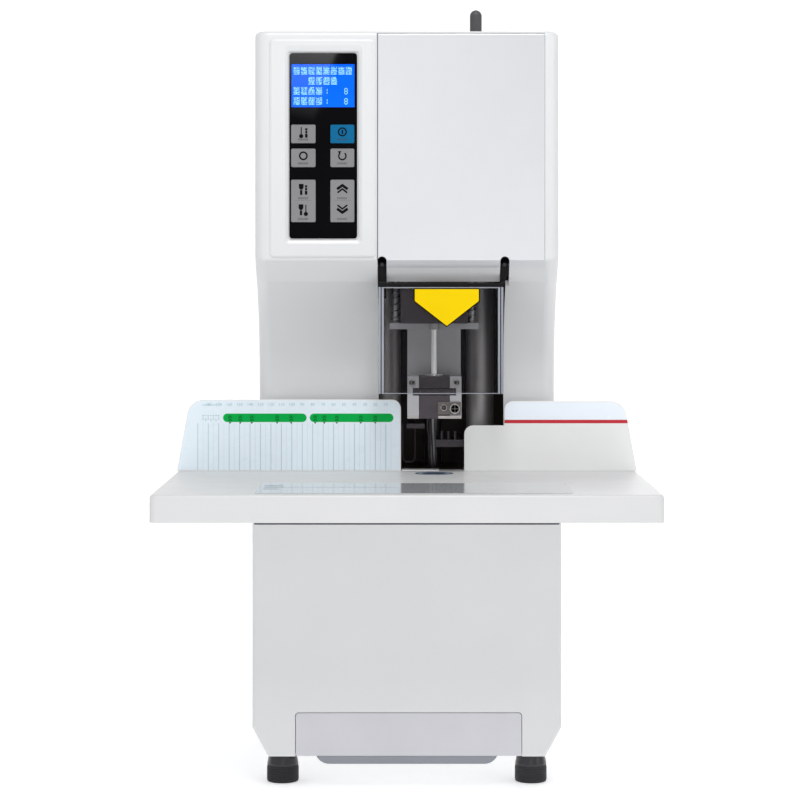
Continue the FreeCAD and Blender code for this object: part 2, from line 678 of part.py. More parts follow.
def throat_brackets():
    """Two bars that reach out of the dark on their arms, the right one with three pegs."""
    rear = s.liner_rear - s.liner_wall
    face = s.bar_face
    left, right = s.left_bar_z, s.right_bar_z
    arm_left, arm_right = s.left_bar_end - 9.5, s.right_bar_end - 4
    bars = [
        block("left_bar", (0, s.left_bar_end), (face, face + 6), (left, left + 4.5)),
        block("left_bar_arm", (arm_left - 6, arm_left), (face + 6, rear), (left, left + 4.5)),
        block("right_bar", (s.right_bar_start, s.right_bar_end), (face, face + 8),
              (right, right + 7)),
        block("right_bar_arm", (arm_right - 6, arm_right), (face + 8, rear),
              (right, right + 7)),
    ]
    for step in range(3):
        x = s.right_bar_start + 6 + step * 6.5
        bars.append(rod("right_bar_peg", (x, face + 4, right + 7), s.peg_radius, s.peg_high))
    return fuse("brackets", bars)


def lead(name, points, radius):
    """A round wire along straight runs joined by balls at the bends."""
    runs = []
    for start, end in zip(points[:-1], points[1:]):
        a = FreeCAD.Vector(*[size(v).value for v in start])
        b = FreeCAD.Vector(*[size(v).value for v in end])
        runs.append(Part.makeCylinder(size(radius).value, (b - a).Length, a, b - a))
    for bend in points[1:-1]:
        centre = FreeCAD.Vector(*[size(v).value for v in bend])
        runs.append(Part.makeSphere(size(radius).value, centre))
    item = doc.addObject("Part::Feature", name)
    item.Shape = runs[0].multiFuse(runs[1:]).removeSplitter()
    return item


def throat_leads():
    """Three stiff leads and a bent loop that stand in the dark of the throat."""
    floor = s.table_top + 0.3
    rise = s.wire_rise
    x, y = s.axis_x, s.wire_y
    rear = s.liner_rear - s.liner_wall
    bends = {
        "lead_left": [(-1.5, 0), (-4.5, 12), (-5, 34), (-6, 38), (-6, rise)],
        "lead_middle": [(0, 0), (-1, 20), (-3, rise)],
        "lead_right": [(1.5, 0), (3, 12), (2, 34), (1, 40), (1.5, rise)],
    }
    leads = [lead(name, [(x + aside, y, floor + up) for aside, up in path], s.wire)
             for name, path in bends.items()]
    left, right = s.loop_x - s.loop_half, s.loop_x + s.loop_half
    low, high = s.loop_low, s.loop_high
    loop = lead("lead_loop", [
        (left, s.loop_y, high), (left, s.loop_y, low + 3), (left + 3, s.loop_y, low),
        (right - 3, s.loop_y, low), (right, s.loop_y, low + 3), (right, s.loop_y, high),
        (right, rear, high)], s.wire)
    top = (floor + rise, floor + rise + 4)
    terminal = block("lead_terminal", (x - 12, x + 5), (y - 2, y + 2), top)
    arm = block("lead_arm", (x - 12, x - 9.5), (y + 1, rear), top)
    return [fuse("loom", leads + [terminal, arm]), loop]


def make_throat_fittings():
    piece("throat_fittings", group("fittings", [throat_brackets()] + throat_leads()))


# ---------------------------------------------------------------- drill head
def block_bore(name, x, y, radius):
    return rod(name, (x, y, s.block_low - 1), radius, s.block_thick + 2)


def make_carriage():
    low = s.block_low
    high = low + s.block_thick
    slab = block("carriage_slab", (s.block_left, s.block_right), (s.block_front, s.block_rear),
                 (low, high))
    bush = s.post_radius + s.bush_wall
    tools = [block_bore("bush_bore", x, y, bush) for x, y in post_places()]
    tools.append(block_bore("spindle_bore", s.axis_x, s.axis_y, s.spindle_radius + s.bore_clear))
    tools.append(block_bore("shaft_bore", s.axis_x, s.motor_y, s.shaft_radius + s.bore_clear))
    tools.append(block_bore("nut_bore", s.axis_x, s.screw_y, s.nut_radius))
    for side in (-1, 1):
        tools.append(block_bore("rod_bore", s.axis_x + side * s.rod_offset, s.rod_y,
                                s.rod_radius + s.fit * 2))
    piece("carriage_block", cut("carriage", slab, tools))
    bushes = []
    for x, y in post_places():
        sleeve = rod("bush_sleeve", (x, y, low - 2), bush, s.block_thick + 8)
        bore = rod("bush_hole", (x, y, low - 3), s.post_radius + s.fit, s.block_thick + 10)
        bushes.append(cut("bush", sleeve, [bore]))
    piece("carriage_bearings", group("bearings", bushes + spindle_bearings()))
    x, y = s.axis_x, s.screw_y
    nut_low = low - s.nut_drop
    flange = rod("nut_flange", (x, y, high), s.nut_flange, s.flange_thick)
    barrel = rod("nut_barrel", (x, y, nut_low), s.nut_radius, s.block_thick + s.nut_drop)
    thread = rod("nut_thread", (x, y, nut_low - 1), s.screw_radius + s.fit,
                 s.block_thick + s.nut_drop + s.flange_thick + 2)
    piece("lift_nut", cut("nut", fuse("nut_blank", [flange, barrel]), [thread]))


def spindle_bearings():
    races = []
    for z in (s.quill_low, s.block_low - s.bearing_thick):
        at = (s.axis_x, s.axis_y, z)
        ring = rod("race", at, s.bearing_radius, s.bearing_thick)
        hole = rod("race_hole", (at[0], at[1], z - 1), s.spindle_radius + s.fit,
                   s.bearing_thick + 2)
        races.append(cut("bearing", ring, [hole]))
    return races


def make_quill():
    low, high = s.quill_low, s.block_low
    x, y = s.axis_x, s.axis_y
    casing = block("quill_block", (x - s.quill_half, x + s.quill_half),
                   (y - s.quill_depth, y + s.quill_depth), (low, high))
    bearing = s.bearing_thick
    tools = [rod("quill_bore", (x, y, low - 1), s.spindle_radius + s.bore_clear, high - low + 2),
             rod("bearing_seat_low", (x, y, low - 1), s.bearing_radius, bearing + 1),
             rod("bearing_seat_high", (x, y, high - bearing), s.bearing_radius, bearing + 1)]
    piece("spindle_housing", cut("quill", casing, tools))
    pulley_low = s.block_low + s.block_thick + s.pulley_gap
    pulley_high = pulley_low + s.pulley_thick
    shaft = rod("spindle_bar", (x, y, low - s.tail), s.spindle_radius,
                pulley_high + 2 - low + s.tail)
    pulley = rod("spindle_wheel", (x, y, pulley_low), s.pulley_radius, s.pulley_thick)
    socket = rod("drill_socket", (x, y, low - s.tail - 1), s.drill_radius,
                 s.drill_grip + s.tail + 1)
    chip_bore = rod("chip_bore", (x, y, low), s.drill_hollow, pulley_high + 3 - low)
    piece("spindle_shaft", cut("spindle", fuse("spindle_blank", [shaft, pulley]),
                               [socket, chip_bore]))
    long = low + s.drill_grip - s.drill_tip
    drill = rod("drill_stem", (x, y, s.drill_tip), s.drill_radius, long)
    hollow = rod("drill_hollow", (x, y, s.drill_tip - 1), s.drill_hollow, long + 2)
    piece("drill_bit", cut("drill", drill, [hollow]))


def make_drill_motor():
    x, y = s.axis_x, s.motor_y
    high = s.block_low
    low = high - s.motor_long
    can = rod("motor_can", (x, y, low), s.motor_radius, s.motor_long)
    bore = rod("motor_bore", (x, y, low + s.motor_floor), s.shaft_radius + s.fit, s.motor_long)
    piece("drill_motor", cut("motor", can, [bore]))
    pulley_low = high + s.block_thick + s.pulley_gap
    shaft_low = low + s.motor_floor + 2
    shaft = rod("motor_shaft", (x, y, shaft_low), s.shaft_radius,
                pulley_low + s.pulley_thick + 2 - shaft_low)
    wheel = rod("motor_wheel", (x, y, pulley_low), s.pulley_radius, s.pulley_thick)
    piece("motor_pulley", fuse("motor_rotor", [shaft, wheel]))
    belt_low = pulley_low + (s.pulley_thick - s.belt_wide) / 2
    outer = belt_loop("belt_outer", s.pulley_radius + s.fit + s.belt_thick, belt_low, s.belt_wide)
    inner = belt_loop("belt_inner", s.pulley_radius + s.fit, belt_low - 1, s.belt_wide + 2)
    piece("drive_belt", cut("belt", outer, [inner]))


def belt_loop(name, radius, low, wide):
    """The outline of a belt round two equal pulleys, as a solid."""
    x = s.axis_x
    return fuse(name, [rod(name + "_a", (x, s.axis_y, low), radius, wide),
                       rod(name + "_b", (x, s.motor_y, low), radius, wide),
                       block(name + "_run", (x - radius, x + radius), (s.axis_y, s.motor_y),
                             (low, low + wide))])


def make_lift():
    x, y = s.axis_x, s.screw_y
    low = s.base_top - s.frame_thick
    coupling_low = s.frame_high - s.coupling_drop
    bar = rod("screw_bar", (x, y, low), s.screw_radius, coupling_low - low)
    hub = rod("screw_coupling", (x, y, coupling_low), s.coupling_radius,
              s.frame_thick + s.coupling_drop + 1.5)
    piece("lift_screw", fuse("screw", [bar, hub]))
    motor_low = s.frame_high + s.frame_thick
    can = rod("lift_can", (x, y, motor_low + 2), s.lift_motor_radius, s.lift_motor_long)
    ring = rod("lift_ring", (x, y, motor_low), s.lift_motor_radius - 4, 3)
    hollow = rod("lift_hollow", (x, y, motor_low - 1), s.coupling_radius + 1, 4)
    piece("lift_motor", cut("lift_motor_body", fuse("lift_blank", [can, ring]), [hollow]))


# ---------------------------------------------------------------- clamp foot
def make_clamp():
    left, right = s.foot_left, s.foot_right
    low, high = s.foot_low, s.foot_high
    cheek = s.foot_cheek
    front, rear = s.foot_face, s.foot_rear
    x, y = s.axis_x, s.axis_y
    core = block("foot_core", (left + cheek, right - cheek), (front, rear), (low, high))
    slot = block("foot_slot", (left, right), (front - 1, rear - s.notch_back), (s.notch_low, s.notch_high))
    bore = rod("foot_bore", (x, y, low - 1), s.drill_radius + s.drill_clear, high - low + 2)
    seat = rod("foot_bush_seat", (x, y, high - s.bush_deep), s.bush_seat + s.fit, s.bush_deep + 1)
    piece("clamp_block", cut("foot_block", core, [slot, bore, seat]))
    bush = rod("drill_bush_body", (x, y, high - s.bush_deep), s.bush_seat, s.bush_deep)
    lip = rod("drill_bush_lip", (x, y, high), s.bush_lip, s.bush_lip_thick)
    clear = s.drill_radius + s.drill_clear
    hole = rod("drill_bush_hole", (x, y, high - s.bush_deep - 1), clear,
               s.bush_deep + s.bush_lip_thick + 2)
    piece("drill_bush", cut("foot_bush", fuse("bush_blank", [bush, lip]), [hole]))
    gap = s.heater_gap
    inset = cheek - s.notch_deep + gap
    plate = block("heater_strip", (left + inset, right - inset),
                  (front + 1.5, rear - s.notch_back - gap),
                  (s.notch_low + gap, s.notch_high - gap))
    through = rod("heater_hole", (x, y, s.notch_low - 1), clear, 10)
    piece("heater_plate", cut("heater", plate, [through]))
    cheeks = [block("cheek_left", (left, left + cheek), (front, rear), (low, high)),
              block("cheek_right", (right - cheek, right), (front, rear), (low, high))]
    web_high = s.quill_low
    web = block("hanger_web", (left, right), (rear, rear + s.hanger_thick), (low, web_high))
    bar = block("hanger_bar", (left - s.bar_reach, right + s.bar_reach), (s.bar_front, s.bar_rear),
                (web_high - s.bar_high, web_high))
    rods = []
    top = s.block_low + s.block_thick
    for side in (-1, 1):
        at = x + side * s.rod_offset
        rods.append(rod("foot_rod", (at, s.rod_y, web_high - 1), s.rod_radius,
                        top + 5 - web_high))
        rods.append(rod("rod_collar", (at, s.rod_y, top + 0.3), s.collar_radius,
                        s.collar_thick))
    notch = block("cheek_notch", (left + cheek - s.notch_deep, right - cheek + s.notch_deep),
                  (front - 1, rear - s.notch_back), (s.notch_low, s.notch_high))
    frame = fuse("hanger_blank", cheeks + [web, bar] + rods)
    piece("clamp_hanger", cut("hanger", frame, [notch]))
    face = front - s.terminal_thick
    terminal = block("terminal", (s.terminal_left, right - 0.8), (face, front),
                     (s.terminal_low, s.terminal_high))
    heads = [(left + s.cheek_screw + 1.6, s.cheek_screw_z, front, s.cheek_screw),
             (right - s.cheek_screw - 2, s.cheek_screw_z, front, s.cheek_screw),
             (s.small_screw_x, s.small_screw_z, face, s.small_screw),
             (s.big_screw_x, s.big_screw_z, face, s.big_screw)]
    thick = s.head_thick
    screws = [rod("clamp_screw", (at, touch - thick, z), radius, thick, "Y")
              for at, z, touch, radius in heads]
    piece("clamp_fittings", group("terminal_and_screws", [terminal] + screws))
    coils = []
    for side in (-1, 1):
        coils.append(coil("foot_coil", x + side * s.rod_offset, s.rod_y, web_high,
                          s.block_low))
    piece("clamp_springs", group("two_springs", coils))


def coil(name, x, y, low, high):
    """A helical spring between two seats."""
    start = low + s.wire_radius + 0.1
    helix = doc.addObject("Part::Helix", name + "_line")
    bind(helix, "Pitch", s.coil_pitch)
    bind(helix, "Height", high - start - s.wire_radius - 0.1)
    bind(helix, "Radius", s.coil_radius)
    place(helix, x, y, start)
    wire = doc.addObject("Part::Circle", name + "_wire")
    wire.Placement = FreeCAD.Placement(FreeCAD.Vector(), FreeCAD.Rotation(FreeCAD.Vector(1, 0, 0), 90))
    bind(wire, "Radius", s.wire_radius)
    place(wire, x + s.coil_radius, y, start)
    sweep = doc.addObject("Part::Sweep", name)
    sweep.Sections = [wire]
    sweep.Spine = helix
    sweep.Solid = True
    sweep.Frenet = True
    return sweep


# ---------------------------------------------------------------- turning pad
def make_pad():
    x, y = s.axis_x, s.pad_y
    low = s.table_top - s.pad_thick
    disc = rod("pad_blank", (x, y, low), s.pad_radius, s.pad_thick)
    hub = rod("pad_hub", (x, y, low - 1), s.pad_shaft + s.fit, s.pad_thick - 2)
    anvil_low = s.table_top - s.anvil_high
    pocket = rod("anvil_pocket", (x, y - s.anvil_offset, anvil_low - s.fit),
                 s.anvil_radius + s.fit, s.pad_thick)
    piece("cutting_pad", cut("pad", disc, [hub, pocket]))
    anvil = rod("anvil", (x, y - s.anvil_offset, anvil_low), s.anvil_radius, s.anvil_high)
    shaft_low = s.base_top - s.frame_thick - 3
    shaft = rod("pad_stem", (x, y, shaft_low), s.pad_shaft,
                low + s.pad_thick - 3 - s.fit - shaft_low)
    wheel = rod("pad_wheel", (x, y, shaft_low - s.pad_knob_high), s.pad_knob, s.pad_knob_high)
    piece("pad_spindle", group("pad_steel", [fuse("pad_axle", [shaft, wheel]), anvil]))


# ---------------------------------------------------------------- shield
def make_shield():
    left, right = s.shield_left, s.shield_right
    wall = s.shield_wall
    face = s.shield_face
    low, high = s.shield_low, s.shield_high
    front = block("shield_front", (left, right), (face, face + wall), (low, high))
    sides = [block("shield_side", x, (face + wall - 0.5, s.shield_back), (low, s.arm_shoulder))
             for x in ((left, left + wall), (right - wall, right))]
    piece("shield_cover", fuse("shield", [front] + sides))
    bracket = [block("trim", (left, right), (face, face + s.trim_deep),
                     (high, high + s.trim_high))]
    half = (right - left) / 2
    centre = left + half + s.patch_shift
    start, end = centre - s.patch_half, centre + s.patch_half
    patch = profile("patch", "XZ", [
        (start, high - s.patch_drop), (start, high - s.patch_side),
        (centre, high - s.patch_point), (end, high - s.patch_side),
        (end, high - s.patch_drop)], face - s.film, face)
    piece("shield_patch", patch)
    hinges = []
    for name, at in (("arm_left", s.slot_left), ("arm_right", s.slot_right)):
        x = (at - s.arm_wide / 2, at + s.arm_wide / 2)
        hub = rod(name + "_hub", (x[0], s.hinge_y, s.hinge_z), s.arm_hub, s.arm_wide, "X")
        neck = block(name + "_neck", x, (s.hinge_y - 4.5, s.hinge_y + 5), (s.arm_neck, s.hinge_z))
        foot = block(name + "_foot", x, (face + wall, s.hinge_y + 0.5),
                     (s.arm_shoulder, s.arm_neck + 0.5))
        bracket += [hub, neck, foot]
        hinges += hinge_tabs(at)
    bore = rod("arm_bore", (s.slot_left - s.arm_wide, s.hinge_y, s.hinge_z), s.pin_radius + s.fit,
               s.slot_right - s.slot_left + s.arm_wide * 2, "X")
    outer = s.slot_right + s.arm_wide / 2
    waist = profile("arm_waist", "XZ", [
        (outer + 1, s.arm_taper + 2), (outer, s.arm_taper), (right + 0.2, s.arm_neck - 2),
        (right + 0.2, s.arm_shoulder - 1), (outer + 1, s.arm_shoulder - 1)], face - 1, 0)
    piece("shield_bracket", cut("bracket", fuse("bracket_blank", bracket), [bore, waist]))
    piece("shield_hinges", group("hinge_brackets", hinges))


def hinge_tabs(centre):
    """A pin and its two tabs inside the head, beside one arm slot."""
    reach = s.slot_wide / 2 + 0.5
    outer = reach + s.tab_thick
    wall = s.head_front + s.shell
    brow = s.head_low + s.shell + 3
    parts = [rod("hinge_pin", (centre - outer, s.hinge_y, s.hinge_z), s.pin_radius,
                 outer * 2, "X")]
    rear = s.hinge_y + s.tab_rear
    for x in ((centre - outer, centre - reach), (centre + reach, centre + outer)):
        parts.append(block("tab_upper", x, (wall, rear), (brow, brow + s.tab_high)))
        parts.append(block("tab_lower", x, (s.hinge_y - s.tab_below, rear),
                           (s.hinge_z - s.tab_below, brow)))
    return [fuse("hinge_bracket", parts)]


# ---------------------------------------------------------------- tube feed
def make_tube_feed():
    x, y = s.tube_x, s.tube_y
    low, high = s.sleeve_low, s.sleeve_high
    tube = rod("sleeve_tube", (x, y, low), s.sleeve_radius, high - low)
    collar_high = s.head_top - s.shell - 0.3
    collar = rod("sleeve_collar", (x, y, collar_high - 3), s.sleeve_radius + s.collar_out, 3)
    bore = rod("sleeve_bore", (x, y, low - 1), s.sleeve_bore, high - low + 2)
    piece("tube_sleeve", cut("sleeve", fuse("sleeve_blank", [tube, collar]), [bore]))
    dome = high + s.cap_high - s.sleeve_radius
    plug = rod("cap_plug", (x, y, high - s.plug_long), s.sleeve_bore - s.fit, s.plug_long + 1)
    skirt = rod("cap_skirt", (x, y, high), s.sleeve_radius, dome - high)
    top = ball("cap_dome", (x, y, dome), s.sleeve_radius)
    top.Angle1 = 0
    piece("tube_cap", fuse("cap", [plug, skirt, top]))
    reach = s.tube_radius + s.roller_radius
    plate_y = y + s.roller_long
    z = s.roller_z
    plate_back = plate_y + s.feed_plate
    edge = reach + s.feed_margin
    plate = block("feed_plate_sheet", (x - edge, x + edge), (plate_y, plate_back),
                  (s.frame_high + s.frame_thick, low))
    ledge = block("feed_ledge", (x - s.ledge_half, x + s.ledge_half), (y - 8, plate_back),
                  (low - 3, low))
    shaft_holes = [rod("feed_hole", (at, plate_y - 1, z), s.feed_shaft + s.fit,
                       s.feed_plate + 2, "Y") for at in (x - reach, x + reach)]
    tube_hole = rod("ledge_hole", (x, y, low - 4), s.sleeve_bore, 5)
    frame = cut("feed_frame", fuse("feed_blank", [plate, ledge]), shaft_holes + [tube_hole])
    can = rod("feed_can", (x + reach, plate_back, z), s.feed_can, s.feed_can_long, "Y")
    can_bore = rod("feed_can_bore", (x + reach, plate_y, z), s.feed_shaft + s.fit,
                   s.feed_grip + s.feed_plate + 1, "Y")
    motor = cut("feed_motor", can, [can_bore])
    piece("feed_unit", group("feed_bracket_and_motor", [frame, motor]))
    start = y - s.roller_long / 2
    for name, at, rear in (("feed_roller", x + reach, plate_back + s.feed_grip),
                           ("pinch_roller", x - reach, plate_back)):
        wheel = rod(name + "_tyre", (at, start, z), s.roller_radius - 0.2, s.roller_long, "Y")
        shaft = rod(name + "_shaft", (at, start - 3, z), s.feed_shaft, rear - start + 3, "Y")
        piece(name, fuse(name + "_body", [wheel, shaft]))


# ---------------------------------------------------------------- services
def make_inlet():
    x, z = s.inlet_x, s.inlet_z
    wide, tall = s.inlet_wide / 2, s.inlet_high / 2
    back = s.back
    face = back + s.inlet_proud
    step = s.inlet_step
    flange = block("inlet_flange", (x - wide, x + wide), (back, face), (z - tall, z + tall))
    body = block("inlet_body", (x - wide + step, x + wide - step),
                 (back - s.inlet_deep, back + 1), (z - tall + step, z + tall - step))
    half = s.socket_half
    socket = block("inlet_socket", (x - 4, x + 20), (back - s.socket_deep, face + 1),
                   (z - half, z + half))
    half_w, half_h = s.rocker_wide / 2 - 3, s.rocker_high / 2
    well = block("rocker_well", (s.rocker_x - half_w, s.rocker_x + half_w), (back - 8, face + 1),
                 (z - half_h - 2, z + half_h + 2))
    shell = cut("inlet_shell", fuse("inlet_blank", [flange, body]), [socket, well])
    pins = []
    for step in range(3):
        at = x + 2 + step * 6
        pins.append(block("inlet_pin", (at - s.pin_half, at + s.pin_half),
                          (back - s.socket_deep - 1, back - 1), (z - s.pin_tall, z + s.pin_tall)))
    stub = rod("rocker_pin", (s.rocker_x - half_w - 1, back - 1, z), s.rocker_pin,
               half_w * 2 + 2, "X")
    piece("power_inlet", fuse("inlet", [shell, stub] + pins))
    reach = half_w - s.rocker_gap
    rocker = block("rocker_cap", (s.rocker_x - reach, s.rocker_x + reach), (back - 3, face - 0.6),
                   (z - half_h, z + half_h))
    bore = rod("rocker_bore", (s.rocker_x - half_w, back - 1, z), s.rocker_pin + s.fit,
               half_w * 2, "X")
    piece("power_rocker", cut("rocker", rocker, [bore]))


def make_circuits():
    """The supply box on the base floor and the control board on the rear cover."""
    floor = s.base_low + s.base_wall + s.floor_thick
    piece("power_supply", block("supply_box", (-s.supply_half, s.supply_half),
                                (s.supply_front, s.supply_back), (floor, floor + s.supply_high)))
    inner = s.back - s.rear_wall
    left, right = s.circuit_left, s.circuit_right
    low, high = s.circuit_low, s.circuit_high
    rear = inner - s.circuit_gap
    front = rear - s.board_thick
    edge = s.circuit_edge
    parts = [block("control_sheet", (left, right), (front, rear), (low, high))]
    for px in (left + edge, right - edge):
        for pz in (low + edge, high - edge):
            parts.append(rod("control_post", (px, rear - 0.5, pz), s.circuit_post,
                             s.circuit_gap + 0.5, "Y"))
    chips = {"relay": (15, 90, 18, 18, 14), "processor": (45, 80, 30, 30, 5),
             "capacitor_row": (85, 60, 14, 40, 18)}
    for name, (across, up, wide, tall, thick) in chips.items():
        parts.append(block(name, (left + across, left + across + wide),
                           (front - thick, front + 0.5), (low + up, low + up + tall)))
    piece("control_board", fuse("control", parts))


def make_screws():
    screws = []
    inset = s.cover_screw_in
    for side in (-1, 1):
        for pz in (s.base_top + inset, s.head_top - inset):
            screws.append(rod("cover_screw", (side * s.cover_screw_x, s.back, pz),
                              s.screw_head, s.screw_thick, "Y"))
    behind = s.stop_face + s.stop_thick + 8
    for px in (-190, -100, 120, 190):
        screws.append(rod("stop_screw", (px, behind, s.table_top + s.stop_thick),
                          s.screw_head, s.screw_thick))
    piece("case_screws", group("screws", screws))


def check_and_write():
    doc.recompute()
    broken = [item.Name for item in doc.Objects
              if "Invalid" in item.State or "Error" in item.State]
    if broken:
        raise RuntimeError(f"failed objects: {broken}")
    for name, item in PIECES.items():
        if item.Shape.isNull() or not item.Shape.isValid() or not item.Shape.Solids:
            raise RuntimeError(f"{name} has no valid solid")
    os.makedirs("parts", exist_ok=True)
    for name, item in PIECES.items():
        item.Shape.exportStep(f"parts/{name}.step")
    print(f"{len(PIECES)} sub-parts written")


for make in (make_base, make_feet, make_drawer, make_table, make_stops, make_front_cover,
             make_fascia, make_rear_cover, make_keypad, make_frame, make_liner, make_throat_fittings,
             make_carriage, make_quill, make_drill_motor, make_lift, make_clamp, make_pad,
             make_shield, make_tube_feed, make_inlet, make_circuits, make_screws):
    make()
check_and_write()
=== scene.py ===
import math
import random

import bmesh
import bpy
from mathutils import Matrix, Vector


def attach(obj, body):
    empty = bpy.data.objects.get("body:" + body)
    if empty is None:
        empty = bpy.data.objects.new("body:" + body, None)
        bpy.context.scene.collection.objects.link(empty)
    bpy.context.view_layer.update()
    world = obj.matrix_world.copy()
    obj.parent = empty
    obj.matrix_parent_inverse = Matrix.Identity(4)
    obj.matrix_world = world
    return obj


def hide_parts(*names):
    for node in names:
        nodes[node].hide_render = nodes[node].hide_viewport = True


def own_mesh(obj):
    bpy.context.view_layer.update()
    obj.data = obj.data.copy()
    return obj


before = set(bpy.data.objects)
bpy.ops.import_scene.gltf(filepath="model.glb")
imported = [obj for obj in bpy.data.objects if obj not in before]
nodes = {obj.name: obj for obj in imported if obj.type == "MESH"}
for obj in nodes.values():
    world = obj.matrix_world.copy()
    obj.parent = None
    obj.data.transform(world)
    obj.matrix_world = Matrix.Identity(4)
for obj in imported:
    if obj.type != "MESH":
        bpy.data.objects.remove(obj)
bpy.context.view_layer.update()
mm = 0.001
random.seed(12)
print("frame loaded:", len(nodes), "nodes")

# Camera, light and floor.

cameraSetup = {
    "lens": 103.5,
    "sensor": 36,
    "place": (0, -2.185, 0.477),
    "shift": (-0.0085, -0.1562),
    "reach": 60,
}

lampSetup = {
    # name: place, aimed at, size, watts
    "overhead": ((0.0, -1.4, 2.8), (0, 0, 0.3), 0.8, 31),
    "keyBox": ((0.2, -1.9, 2.3), (0, 0, 0.4), 0.7, 12.5),
    "frontLow": ((0.2, -3.0, 0.3), (0, 0, 0.3), 0.7, 1.8),
    "leftSoftbox": ((-2.3, -1.7, 1.0), (0, 0, 0.4), 1.6, 2),
    "rightSoftbox": ((2.4, -1.5, 1.0), (0, 0, 0.4), 1.6, 6.5),
    "rearSoftbox": ((0.6, 2.6, 1.6), (0, 0, 0.4), 2.0, 7),
}

cardSetup = {
    # a small tilted card of light, stronger at one end, whose mirror image slants across the keypad glass
    "place": (-0.1914, -2.185, 0.8688),
    "across": (0.952, 0, -0.307),
    "up": (0.307, 0, 0.952),
    "size": (0.095, 0.19),
    "watts": 1.2,
}

studioLook = {
    "worldColour": (0.985, 0.99, 1.0),
    "worldStrength": 0.42,
    "floorGlow": 0.42,
    "floorReach": 9.0,
    "floorDrop": 0.0002,    # keeps the floor just under the feet
    "sweepStart": 2.6,
    "sweepRadius": 1.6,
    "sweepSteps": 16,
    "wallHeight": 6.0,
}


def setCamera():
    data = bpy.data.cameras.new("deskCamera")
    data.lens = cameraSetup["lens"]
    data.sensor_width = cameraSetup["sensor"]
    data.shift_x, data.shift_y = cameraSetup["shift"]
    data.clip_end = cameraSetup["reach"]
    data.dof.use_dof = False
    cam = bpy.data.objects.new("deskCamera", data)
    cam.location = cameraSetup["place"]
    cam.rotation_euler = (math.radians(90), 0, 0)
    bpy.context.collection.objects.link(cam)
    bpy.context.scene.camera = cam


def addLamp(name, shape, watts):
    data = bpy.data.lights.new(name, "AREA")
    data.shape = shape
    data.energy = watts
    lamp = bpy.data.objects.new(name, data)
    bpy.context.collection.objects.link(lamp)
    return lamp


def setLamps():
    for name, (place, target, size, watts) in lampSetup.items():
        lamp = addLamp(name, "DISK", watts)
        lamp.data.size = size
        lamp.location = place
        lamp.rotation_euler = (Vector(target) - Vector(place)).to_track_quat("-Z", "Y").to_euler()


def setCard():
    v = cardSetup
    card = addLamp("glossCard", "RECTANGLE", v["watts"])
    card.data.size, card.data.size_y = v["size"]
    card.data.use_nodes = True
    tree = card.data.node_tree
    spot = tree.nodes.new("ShaderNodeNewGeometry")
    parts = tree.nodes.new("ShaderNodeSeparateXYZ")
    tree.links.new(spot.outputs["Parametric"], parts.inputs["Vector"])
    tree.links.new(parts.outputs["Y"], tree.nodes["Emission"].inputs["Strength"])
    across, up = Vector(v["across"]), Vector(v["up"])
    turn = Matrix((across, up, across.cross(up))).transposed()
    card.matrix_world = Matrix.Translation(v["place"]) @ turn.to_4x4()


def setWorld():
    world = bpy.data.worlds.new("paleRoom")
    world.use_nodes = True
    back = world.node_tree.nodes["Background"]
    back.inputs["Color"].default_value = (*studioLook["worldColour"], 1)
    back.inputs["Strength"].default_value = studioLook["worldStrength"]
    bpy.context.scene.world = world
    bpy.context.scene.view_settings.view_transform = "Standard"


def setFloor():
    reach = studioLook["floorReach"]
    start = studioLook["sweepStart"]
    radius = studioLook["sweepRadius"]
    steps = studioLook["sweepSteps"]
    drop = studioLook["floorDrop"]
    line = [(-reach, 0.0), (start, 0.0)]
    for step in range(1, steps + 1):
        turn = math.radians(90 * step / steps)
        line.append((start + radius * math.sin(turn), radius * (1 - math.cos(turn))))
    line.append((start + radius, studioLook["wallHeight"]))
    bm = bmesh.new()
    rows = [[bm.verts.new((x, y, z - drop)) for x in (-reach, reach)] for y, z in line]
    for low, high in zip(rows[:-1], rows[1:]):
        bm.faces.new((low[0], low[1], high[1], high[0]))
    floor = meshObject("studioFloor", bm)
    floor.data.shade_smooth()
    floor.data.materials.append(finish["floorPaint"])
    paint = finish["floorPaint"].node_tree.nodes["Principled BSDF"]
    paint.inputs["Emission Color"].default_value = (1, 1, 1, 1)
    paint.inputs["Emission Strength"].default_value = studioLook["floorGlow"]


# Finishes.

